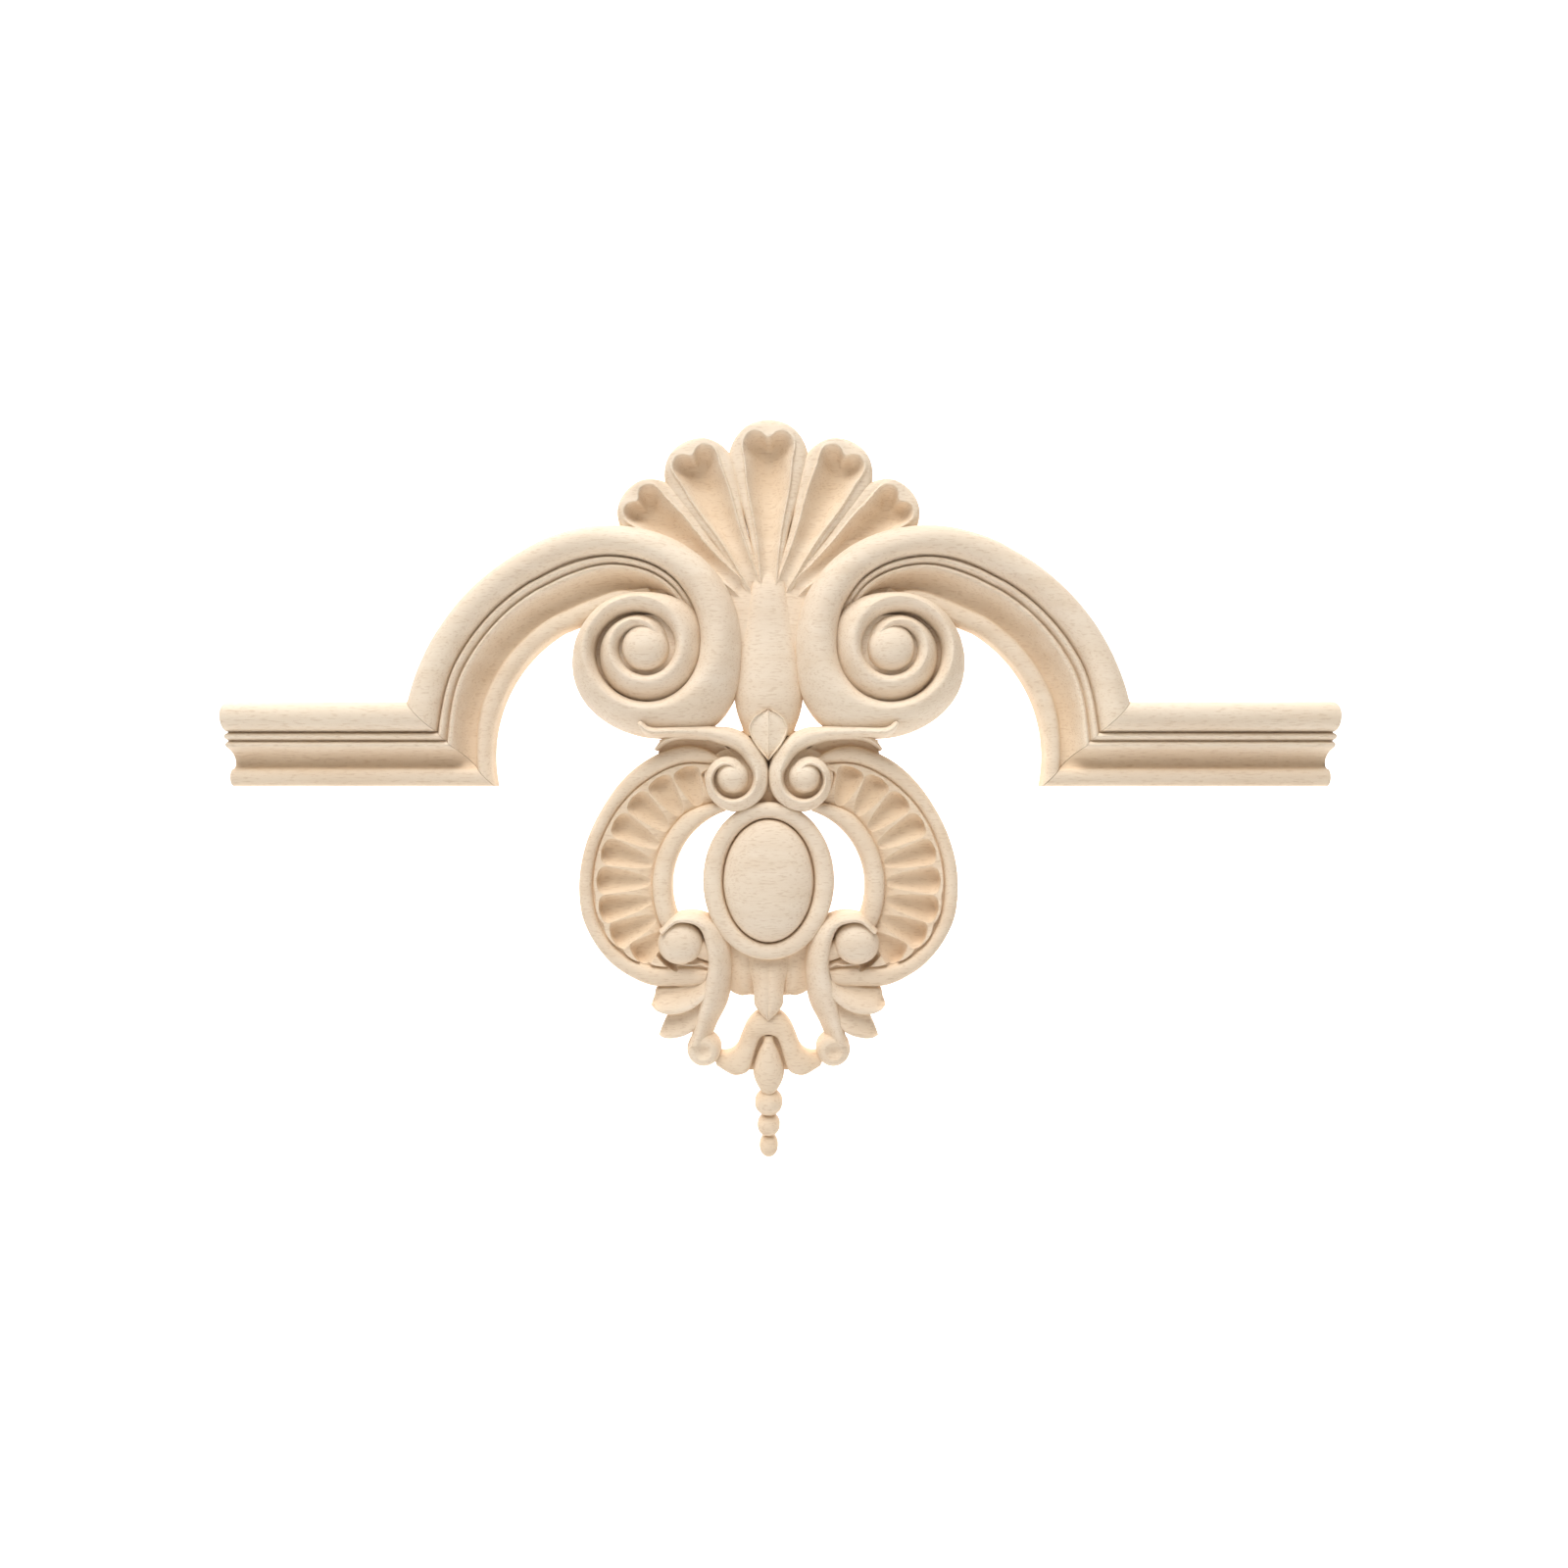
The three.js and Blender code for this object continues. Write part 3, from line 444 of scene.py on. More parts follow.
def smoothed(stations, count):
    """Stations of a band, filled in along a smooth curve."""
    return [on_curve(stations, t) for t in steps(0, 1, count)]


def stem():
    """Rounded stem that swells below and fades into the shell."""
    return upright_band("stem", [(
        z,
        through([(6, 17), (12, 19), (21, 22.3), (31, 24.3), (42, 24.2), (62, 21.4), (84, 17.6), (104, 13.4),
                 (124, 10.5),
                 (140, 9)], z),
        through([(6, 17), (34, STEM_HEIGHT + 1.5), (75, STEM_HEIGHT), (100, 18.8), (112, 17.2), (124, 13.6),
                 (140, 9.6)], z),
        through([(6, 7), (42, 8), (62, 12), (98, 13.8), (124, 11), (140, 9.2)], z),
    ) for z in steps(140, 6, 56)], 2.0, 41)


def ground():
    """Valley between the stem and the volutes, which fades beneath the shell."""
    return upright_band("ground", smoothed([
        (42, 30, 9, 9), (52, 34, 13, 12), (66, 37, 15.6, 14), (84, 40, 16.8, 14.5), (102, 46, 15.4, 13.5),
        (120, 54, 12, 11),
        (146, 66, 10, 10)], 30), places=9)


def knot_ground():
    """Ground behind the small leaf and the small scrolls."""
    return upright_band("knot_ground", [(11, 15, 7, 7), (4, 36, 7, 7), (-10, 36, 7, 7), (-34, 14, 8, 8),
                                        (-50, 14, 8, 8)], places=3)


def band_between(name, first, second, profile, count, mirror=False):
    """Band between two drawn edges; profile(t) gives (share of the way across, height)."""
    sections = []
    for t in steps(0, 1, count):
        a, b = on_curve(first, t), on_curve(second, t)
        shape = profile(t)
        places = [i / 18 for i in range(19)]
        sections.append([(blend(a[0], b[0], p), blend(a[1], b[1], p), through(shape, p)) for p in places])
    return solid_from_sections(name, sections, mirror=mirror)


SCROLL_OUTER = [(-16, 37.4), (0, 35), (24, 30.7), (52, 27.6), (85, 26), (125, 25.6), (175, 24.8), (233, 21.5),
                (270, 19.2), (330, 16.6), (370, 13.8), (400, 11.6)]
SCROLL_INNER = [(-16, 23.5), (4, 19), (44, 14), (87, 14.3), (180, 15), (239, 13.8), (290, 11.6), (330, 8.6),
                (370, 4.5), (400, 1.5)]


def small_scroll(mirror):
    """Small scroll: a straight tail that rolls up around its eye."""
    top = SCROLL_HEIGHT

    def profile(turning):
        return [(0, blend(13, 14, turning)), (blend(0.12, 0.08, turning), top - 4.5),
                (blend(0.42, 0.26, turning), top),
                (blend(0.75, 0.65, turning), top - blend(1.4, 3.2, turning)),
                (blend(0.93, 0.92, turning), top - 6),
                (1, blend(14, 12.5, turning))]

    places = [0.5 - 0.5 * math.cos(math.pi * i / 16) for i in range(17)]
    sections = []
    for t in [0, 0.01, 0.02, 0.035, 0.05, 0.07, 0.09, 0.12, 0.15] + steps(0.19, 1, 20):
        x = blend(SCROLL_REACH, 43, t)
        low = SCROLL_Z + through([(0, 36.2), (0.03, 33), (0.07, 30.6), (0.12, 29), (0.2, 27.8), (0.5, 28),
                                  (1, 26.2)], t)
        high = SCROLL_Z + through([(0, 38.2), (0.03, 39.9), (0.07, 39), (0.12, 36.8), (0.18, 35.4),
                                   (0.3, 35.1), (0.6, 36), (1, 36.5)], t)
        dip = 3 * (1 - ease(t / 0.05)) - 7.4 * (1 - ease(t / 1.05))
        shape = profile(0)
        sections.append([(x, blend(low, high, p), through(shape, p) - dip) for p in places])
    for turn in steps(-16, 400, 96):
        shape = profile(ease((turn + 16) / 110))
        inner, outer = through(SCROLL_INNER, turn), through(SCROLL_OUTER, turn)
        sections.append([(SCROLL_X - blend(inner, outer, p) * math.sin(math.radians(turn)),
                          SCROLL_Z + blend(inner, outer, p) * math.cos(math.radians(turn)),
                          through(shape, p)) for p in places])
    return solid_from_sections("small_scroll", sections, mirror=mirror)


def scroll_eye(mirror):
    """Domed eye of the small scroll."""
    return boss("scroll_eye", SCROLL_X, SCROLL_Z, SCROLL_EYE_RADIUS, SCROLL_EYE_RADIUS,
                domed(15, SCROLL_HEIGHT + 1.5, 8) + [(1.35, 12), (1.75, 11)], 44, mirror)


def scroll_channel(mirror):
    """Deep groove under the tail of the small scroll, down to the ring."""
    return band_between(
        "scroll_channel",
        [(78, 3), (66, 6), (50, 6), (38, 3), (28, -4), (16, -14)],
        [(79.5, -8), (69, -8), (52, -6), (43, -12), (36, -18), (24, -26)],
        lambda t: [(0, 12), (0.15, 8), (0.4, 6.6), (0.7, 6.6), (1, 7)], 30, mirror)


def scroll_tongue(mirror):
    """Thin tongue that parts from the tail of the small scroll and hooks down."""
    return band_between(
        "scroll_tongue",
        [(44, 6), (56, 6.5), (67, 6.5), (75, 4.2), (80.8, -3)],
        [(44, 2.5), (56, 3.4), (65, 3), (72.5, 0.6), (80.2, -4.6)],
        lambda t: [(0, 15), (0.25, 18), (0.6, 19), (0.85, 18 - 2 * t), (1, 12)], 26, mirror)


RING_OUTER = [(3, 0.85), (10, 0.93), (18, 0.982), (35, 1.008), (60, 0.995), (100, 1.003), (111, 0.982),
              (123, 0.943),
              (131, 0.905), (142, 0.845), (152, 0.76), (166, 0.68)]
RING_LINE = [(3, 0.79), (12, 0.83), (20, 0.863), (30, 0.88), (60, 0.897), (100, 0.897), (114, 0.87),
             (130, 0.785),
             (142, 0.68), (152, 0.6), (166, 0.56)]


def from_ring(bearing, distance):
    """Point at a bearing and distance from the centre of the ring."""
    slant = math.radians(bearing)
    return RING_X + distance * math.sin(slant), RING_Z + distance * math.cos(slant)


def ring_opening(bearing):
    """Distance from the centre of the ring to the edge of its opening."""
    along = (RING_X - RING_OPENING_X) * math.sin(math.radians(bearing))
    offset = (RING_X - RING_OPENING_X) ** 2 - RING_OPENING_RADIUS ** 2
    return -along + math.sqrt(along * along - offset)


def ring_body():
    """Open ring of the cartouche: bead at the opening, field for the hollows, thin line and outer bead."""
    sections = []
    for bearing in steps(3, 166, 132):
        line = through(RING_LINE, bearing) * RING_RADIUS
        outer = through(RING_OUTER, bearing) * RING_RADIUS
        inner = ring_opening(min(bearing, 118))
        field = min(inner + 14, RING_RADIUS * 0.565, line - 4)
        inner = min(inner, field - 3)
        scallop = ease((bearing - 78) / 30) * 2.6
        notch = abs(math.cos(math.pi * (bearing - HOLLOW_FIRST) / HOLLOW_STEP)) ** 0.6
        edge = line - scallop * (1 - notch)
        proud = 1.2 * ease((bearing - 70) / 30)
        shape = [(inner, 7)]
        shape += [(blend(inner, field, 0.5 - 0.5 * math.cos(a)), 8 + 7.5 * math.sin(a) ** 0.7)
                  for a in steps(0.15, 3.0, 14)]
        shape += [(field, 8), (blend(field, edge, 0.06), 9.4), (blend(field, edge, 0.3), 11),
                  (blend(field, edge, 0.7), 11.8), (edge - 1.6, 12.3 + proud),
                  (edge - 0.4, 12.5 + proud), (edge, 12 + proud), (edge + 0.3, 10), (line + 0.9, 9.8)]
        shape += [(blend(line + 1, outer, 0.5 - 0.5 * math.cos(a)), 7 + 7.5 * math.sin(a) ** 0.62)
                  for a in steps(0.55, 3.1, 14)]
        sections.append([(*from_ring(bearing, distance), height) for distance, height in shape])
    return solid_from_sections("ring_body", sections)


def hollow_tool():
    """Shape of one hollow along +Z, 1 m long: narrow and shallow at its start, round and deep at its end."""
    stations = [(0, 6, 8.4), (0.2, 7.4, 7), (0.45, 9, 5.6), (0.7, 10.4, 4.6), (0.84, 10.8, 4), (0.93, 9, 4),
                (0.975, 6, 4.6), (1, 0.8, 6.4)]
    sections = []
    for share in steps(0, 0.8, 10)[:-1] + [0.8 + 0.2 * math.sin(a) for a in steps(0, math.pi / 2, 8)]:
        half = through([(s[0], s[1]) for s in stations], share)
        floor = through([(s[0], s[2]) for s in stations], share)
        sections.append([(half * p, share * 1000, floor + (13.9 - floor) * abs(p) ** 2.2)
                         for p in [math.sin(a) for a in steps(-math.pi / 2, math.pi / 2, 14)]])
    return solid_from_sections("hollow_tool", sections, base=40)


def oval_boss():
    """Oval boss: a high dome, a narrow groove and a broad roll around it."""
    dome = [(math.sin(a), 13.5 + (OVAL_HEIGHT - 13.5) * math.cos(a) ** 0.85) for a in steps(0, 1.52, 16)]
    roll = [(0.53 - 0.45 * math.cos(a), 12.5 + 6.8 * math.sin(a) ** 0.62) for a in steps(0.08, 2.85, 18)]
    sections = []
    for i in range(120):
        dx, dz = math.sin(math.tau * i / 120), math.cos(math.tau * i / 120)
        section = [(DOME_HALF_WIDTH * share * dx, OVAL_Z + DOME_HALF_HEIGHT * share * dz, h)
                   for share, h in dome]
        section += [(blend(DOME_HALF_WIDTH, OVAL_HALF_WIDTH, u) * dx,
                     OVAL_Z + blend(DOME_HALF_HEIGHT, OVAL_HALF_HEIGHT, u) * dz, h)
                    for u, h in [(0.04, 11.6)] + roll + [(1, 9)]]
        sections.append(section)
    return solid_from_sections("oval_boss", sections, closed=True)


def lower_band(mirror):
    """Lower scroll: starts on the ring, passes over its eye and runs down to a knob."""
    def profile(t):
        top = LOWER_HEIGHT - 4 * ease(t * 1.6 - 0.7)
        return [(0, 9), (0.05, top - 5), (0.14, top - 1.6), (0.32, top), (0.5, top - 1), (0.78, top - 5.4),
                (0.94, top - 9.5),
                (1, 7)]

    return band_between(
        "lower_band",
        [(74, -134.5), (64, -127.2), (51, -129.5), (46, -139), (43.5, -158), (48.5, -180), (53, -200),
         (57, -215)],
        [(78, -132), (66, -120.6), (47, -120.2), (31.5, -132), (25.8, -157), (28.6, -182), (37, -200),
         (41.5, -212)],
        profile, 70, mirror)


def lower_eye(mirror):
    """Ball held by the lower scroll."""
    return boss("lower_eye", LOWER_EYE_X, LOWER_EYE_Z, LOWER_EYE_RADIUS, LOWER_EYE_RADIUS * 0.93,
                domed(13, LOWER_HEIGHT + 1.5, 9) + [(1.02, 8)], 52, mirror)


def lower_knob(mirror):
    """Knob with a shallow dimple at the foot of the lower scroll."""
    return boss("lower_knob", KNOB_X, KNOB_Z, KNOB_RADIUS, KNOB_RADIUS,
                [(0, 14.2), (0.16, 14.4), (0.34, 15.8), (0.52, 17), (0.68, 16.6), (0.84, 14.8), (0.95, 12),
                 (1, 8)], 40, mirror)


def leaf_profile(top, groove):
    """Section of a leaf: a groove along its upper edge and a round crest near its lower edge."""
    def profile(t):
        fall = 3 * ease(t * 1.5 - 0.5)
        return [(0, 6.5), (0.07, top - groove - fall * 0.3), (0.28, top - groove + 1.2 - fall * 0.4),
                (0.52, top - groove * 0.42 - fall * 0.6), (0.74, top - 0.6 - fall * 0.6),
                (0.85, top - fall * 0.6),
                (0.94, top - 1.8 - fall * 0.6), (1, 7)]
    return profile


def upper_leaf(mirror):
    """Upper leaf beside the lower scroll, under the ring."""
    return band_between(
        "upper_leaf",
        [(44, -156), (54, -168), (67, -172.5), (79.5, -173.5), (82, -180), (83.5, -184)],
        [(38, -172), (46, -183), (57, -190.5), (69, -193), (78, -190.5), (83, -185)],
        leaf_profile(19, 9), 44, mirror)


def lower_leaf(mirror):
    """Lower leaf beside the lower scroll."""
    return band_between(
        "lower_leaf",
        [(42, -170), (52, -181), (62, -187), (71, -191.5), (75.5, -199.5), (78, -206)],
        [(42, -190), (49, -201.5), (58, -208), (67, -210.5), (74, -210), (78, -207)],
        leaf_profile(16, 5), 40, mirror)


def lower_plate():
    """Plate below the oval, lobed along its foot, with a soft hollow on either side of the drop leaf."""
    sections = []
    for z, half, level, foot in smoothed([(-140, 33, 9.5, 9), (-155, 31, 9.5, 8.5), (-168, 30, 9.5, 8),
                                          (-175, 28.5, 9, 7.5),
                                          (-178.5, 25.5, 8, 6), (-180.5, 21, 7, 5)], 26):
        sections.append([(half * p, z + 2.6 * ease((-z - 160) / 18) * (1 - abs(math.sin(p * 5.2))),
                          blend(level + 1.2 * math.cos(p * 10.4), foot, abs(p) ** 6))
                          for p in steps(-1, 1, 48)])
    return solid_from_sections("lower_plate", sections)


def drop_leaf():
    """Pointed leaf that hangs over the foot of the plate, creased down its middle."""
    sections = []
    for z, half, top, edge in smoothed([
            (-150, 17, 11, 8.5), (-160, 14.5, 13.5, 9), (-170, 11.6, 15.6, 10.5), (-178, 10.6, 16.8, 12),
            (-185, 10.2, 17, 12.4),
            (-190.5, 7, 16.4, 12), (-194.5, 3.4, 15.4, 11.5), (-197.2, 0.4, 13.5, 10)], 44):
        rounded = [(p, edge + (top - edge) * max(0.0, 1 - abs(p) ** 2.2))
                   for p in [math.sin(math.radians(a)) for a in steps(-90, 90, 32)]]
        sections.append([(half * p, z, height - 0.9 * math.exp(-((p / 0.14) ** 2))) for p, height in rounded])
    return solid_from_sections("drop_leaf", sections)


def centre_leaf():
    """Small leaf over the foot of the stem, with a raised rim and a crease down its middle."""
    stations = smoothed([(24.4, 0.4), (22.5, 5.6), (18.5, 10.6), (11.5, 14.2), (4, 12), (-3, 7.8),
                         (-11.5, 0.4)], 36)
    sections = []
    for z, half in stations:
        rim = min(1.6, half * 0.5)
        shape = [(half, 17), (half - rim * 0.2, 21.5), (half - rim * 0.6, 22.6), (half - rim, 21.6),
                 (half - rim * 1.3, 20.9)]
        inside = half - rim * 1.3
        centre = [(inside * p, 20.9 + 2.6 * (1 - p) ** 1.6) for p in (0.75, 0.5, 0.25, 0.1)]
        right = [(d, z, h) for d, h in shape + centre]
        sections.append([(-d, z, h) for d, z, h in right] + [(0, z, 23.8)] + right[::-1])
    return solid_from_sections("centre_leaf", sections)


BELL_OUTER = [(0, -189.9), (9, -192), (15.3, -198.7), (19.3, -207.5), (22.5, -215.2), (27.5, -219.6),
              (33.5, -220.3),
              (40, -220)]
BELL_INNER = [(0, -208.4), (5.4, -210), (8.4, -216.4), (11.2, -226), (13, -231.6), (17, -236),
              (25.5, -237.5), (37, -231)]


def bell_flower():
    """Bell flower with its two turned-out petals."""
    half = []
    for t in steps(0, 1, 34):
        a, b = on_curve(BELL_OUTER, t), on_curve(BELL_INNER, t)
        shape = [(0, 6.5), (0.05, 9.6), (0.16, 11.4), (0.4, 12.8), (0.7, 13), (0.88, 12), (0.96, 10.4),
                 (1, 7)]
        fall = 3 * ease(t * 3 - 2)
        half.append([(blend(a[0], b[0], i / 16), blend(a[1], b[1], i / 16), through(shape, i / 16) - fall)
                     for i in range(17)])
    other = [[(-x, z, h) for x, z, h in section] for section in half[:0:-1]]
    return solid_from_sections("bell_flower", other + half)


def bud():
    """Bud that hangs in the bell flower."""
    stations = [(-208.8, 0.3, 10, 8), (-213, 0.38, 13, 7), (-220, 0.68, 14.6, 7), (-229, 0.95, 15.5, 7),
                (-236, 1, 15.5, 7),
                (-243, 0.8, 14.5, 7), (-248.5, 0.48, 12.5, 7), (-252.2, 0.04, 9, 7)]
    sized = [(z, s * BUD_HALF_WIDTH, min(top, BUD_HEIGHT), e) for z, s, top, e in stations]
    return upright_band("bud", smoothed(sized, 40))


def bud_ground():
    """Ground behind the dark line between the bell flower and the bud."""
    return upright_band("bud_ground", [(-205, 9, 5.5, 5.5), (-222, 15, 5.5, 5.5), (-234, 17, 5, 5)], places=3)


def drops():
    """The three drops of the pendant, each smaller than the one above."""
    made, top = [], PENDANT_TOP
    for radius, length in zip(DROP_RADII, DROP_LENGTHS):
        made.append(boss("pendant_drop", 0, top - length / 2, radius, length / 2,
                         domed(5, 5 + radius * 0.95, 9), 40))
        top -= length - 1.2
    return made


# Geometry Nodes trees

def new_tree(name, inputs):
    """Empty Geometry Nodes tree with a geometry input and named inputs of (name, socket type, default)."""
    tree = bpy.data.node_groups.new(name, "GeometryNodeTree")
    tree.interface.new_socket("Geometry", in_out="INPUT", socket_type="NodeSocketGeometry")
    for label, kind, default in inputs:
        socket = tree.interface.new_socket(label, in_out="INPUT", socket_type=kind)
        if default is not None:
            socket.default_value = default
    tree.interface.new_socket("Geometry", in_out="OUTPUT", socket_type="NodeSocketGeometry")
    return tree, tree.nodes.new("NodeGroupInput"), tree.nodes.new("NodeGroupOutput")


def finish_tree(tree, geometry, group_input, group_output):
    """Ends a tree in Realize Instances and Set Material."""
    realize = tree.nodes.new("GeometryNodeRealizeInstances")
    painted = tree.nodes.new("GeometryNodeSetMaterial")
    tree.links.new(geometry, realize.inputs["Geometry"])
    tree.links.new(realize.outputs["Geometry"], painted.inputs["Geometry"])
    tree.links.new(group_input.outputs["Finish"], painted.inputs["Material"])
    tree.links.new(painted.outputs["Geometry"], group_output.inputs["Geometry"])


def math_node(tree, operation, *values):
    """Math node with its inputs linked or set."""
    node = tree.nodes.new("ShaderNodeMath")
    node.operation = operation
    for socket, value in zip(node.inputs, values):
        if isinstance(value, (int, float)):
            socket.default_value = value
        else:
            tree.links.new(value, socket)
    return node.outputs[0]


def made_by(tree, name, source, values):
    """Plain mesh that a tree makes from a source mesh, with its inputs set by their identifiers."""
    maker = bpy.data.objects.new(name, source)
    bpy.context.scene.collection.objects.link(maker)
    modifier = maker.modifiers.new(tree.name, "NODES")
    modifier.node_group = tree
    for item in tree.interface.items_tree:
        if item.item_type == "SOCKET" and item.in_out == "INPUT" and item.name in values:
            modifier[item.identifier] = values[item.name]
    bpy.context.view_layer.update()
    result = bpy.data.meshes.new_from_object(maker.evaluated_get(bpy.context.evaluated_depsgraph_get()))
    bpy.data.objects.remove(maker)
    result.name = name
    return result


def straight_tree():
    """A profile swept along a straight path, with one end sheared to the mitre."""
    tree, given, out = new_tree("straight moulding", [
        ("Length", "NodeSocketFloat", 0.1), ("Mitre Lean", "NodeSocketFloat", 1.0),
        ("Low Edge", "NodeSocketFloat", 0.0),
        ("Finish", "NodeSocketMaterial", None)])
    extrude = tree.nodes.new("GeometryNodeExtrudeMesh")
    extrude.mode = "FACES"
    extrude.inputs["Individual"].default_value = False
    along = tree.nodes.new("ShaderNodeCombineXYZ")
    along.inputs["X"].default_value = 1.0
    tree.links.new(given.outputs["Geometry"], extrude.inputs["Mesh"])
    tree.links.new(along.outputs[0], extrude.inputs["Offset"])
    tree.links.new(given.outputs["Length"], extrude.inputs["Offset Scale"])
    flipped = tree.nodes.new("GeometryNodeFlipFaces")
    tree.links.new(given.outputs["Geometry"], flipped.inputs["Mesh"])
    joined = tree.nodes.new("GeometryNodeJoinGeometry")
    tree.links.new(flipped.outputs["Mesh"], joined.inputs["Geometry"])
    tree.links.new(extrude.outputs["Mesh"], joined.inputs["Geometry"])
    weld = tree.nodes.new("GeometryNodeMergeByDistance")
    weld.inputs["Distance"].default_value = 1e-6
    tree.links.new(joined.outputs["Geometry"], weld.inputs["Geometry"])
    place = tree.nodes.new("GeometryNodeInputPosition")
    split = tree.nodes.new("ShaderNodeSeparateXYZ")
    tree.links.new(place.outputs[0], split.inputs[0])
    left_over = math_node(tree, "SUBTRACT", 1.0,
                          math_node(tree, "DIVIDE", split.outputs["X"], given.outputs["Length"]))
    height = math_node(tree, "SUBTRACT", split.outputs["Z"], given.outputs["Low Edge"])
    lean = math_node(tree, "MULTIPLY", math_node(tree, "MULTIPLY", height, given.outputs["Mitre Lean"]),
                     left_over)
    offset = tree.nodes.new("ShaderNodeCombineXYZ")
    tree.links.new(lean, offset.inputs["X"])
    moved = tree.nodes.new("GeometryNodeSetPosition")
    tree.links.new(weld.outputs["Geometry"], moved.inputs["Geometry"])
    tree.links.new(offset.outputs[0], moved.inputs["Offset"])
    finish_tree(tree, moved.outputs["Geometry"], given, out)
    return tree


def hollows_tree():
    """Stands the hollow tool at each marked point of the ring and cuts the ring with it."""
    tree, given, out = new_tree("hollows round the ring", [
        ("Tool", "NodeSocketObject", None), ("Places", "NodeSocketObject", None),
        ("Finish", "NodeSocketMaterial", None)])
    tool, places = tree.nodes.new("GeometryNodeObjectInfo"), tree.nodes.new("GeometryNodeObjectInfo")
    tree.links.new(given.outputs["Tool"], tool.inputs["Object"])
    tree.links.new(given.outputs["Places"], places.inputs["Object"])
    lean = tree.nodes.new("GeometryNodeInputNamedAttribute")
    reach = tree.nodes.new("GeometryNodeInputNamedAttribute")
    for node, name in ((lean, "lean"), (reach, "reach")):
        node.data_type = "FLOAT_VECTOR"
        node.inputs["Name"].default_value = name
    stand = tree.nodes.new("GeometryNodeInstanceOnPoints")
    tree.links.new(places.outputs["Geometry"], stand.inputs["Points"])
    tree.links.new(tool.outputs["Geometry"], stand.inputs["Instance"])
    tree.links.new(lean.outputs["Attribute"], stand.inputs["Rotation"])
    tree.links.new(reach.outputs["Attribute"], stand.inputs["Scale"])
    cut = tree.nodes.new("GeometryNodeMeshBoolean")
    cut.operation = "DIFFERENCE"
    cut.solver = "MANIFOLD"
    tree.links.new(given.outputs["Geometry"], cut.inputs["Mesh 1"])
    tree.links.new(stand.outputs["Instances"], cut.inputs["Mesh 2"])
    finish_tree(tree, cut.outputs["Mesh"], given, out)
    return tree


def joining_tree(parts):
    """Joins every part of the carving into one body."""
    tree, given, out = new_tree("one carving", [("Finish", "NodeSocketMaterial", None)])
    join = tree.nodes.new("GeometryNodeMeshBoolean")
    join.operation = "UNION"
    join.solver = "MANIFOLD"
    tree.links.new(given.outputs["Geometry"], join.inputs["Mesh 2"])
    for part in parts:
        info = tree.nodes.new("GeometryNodeObjectInfo")
        info.inputs["Object"].default_value = part
        tree.links.new(info.outputs["Geometry"], join.inputs["Mesh 2"])
    weld = tree.nodes.new("GeometryNodeMergeByDistance")
    weld.inputs["Distance"].default_value = 5e-6
    tree.links.new(join.outputs["Mesh"], weld.inputs["Geometry"])
    finish_tree(tree, weld.outputs["Geometry"], given, out)
    return tree


# Finish

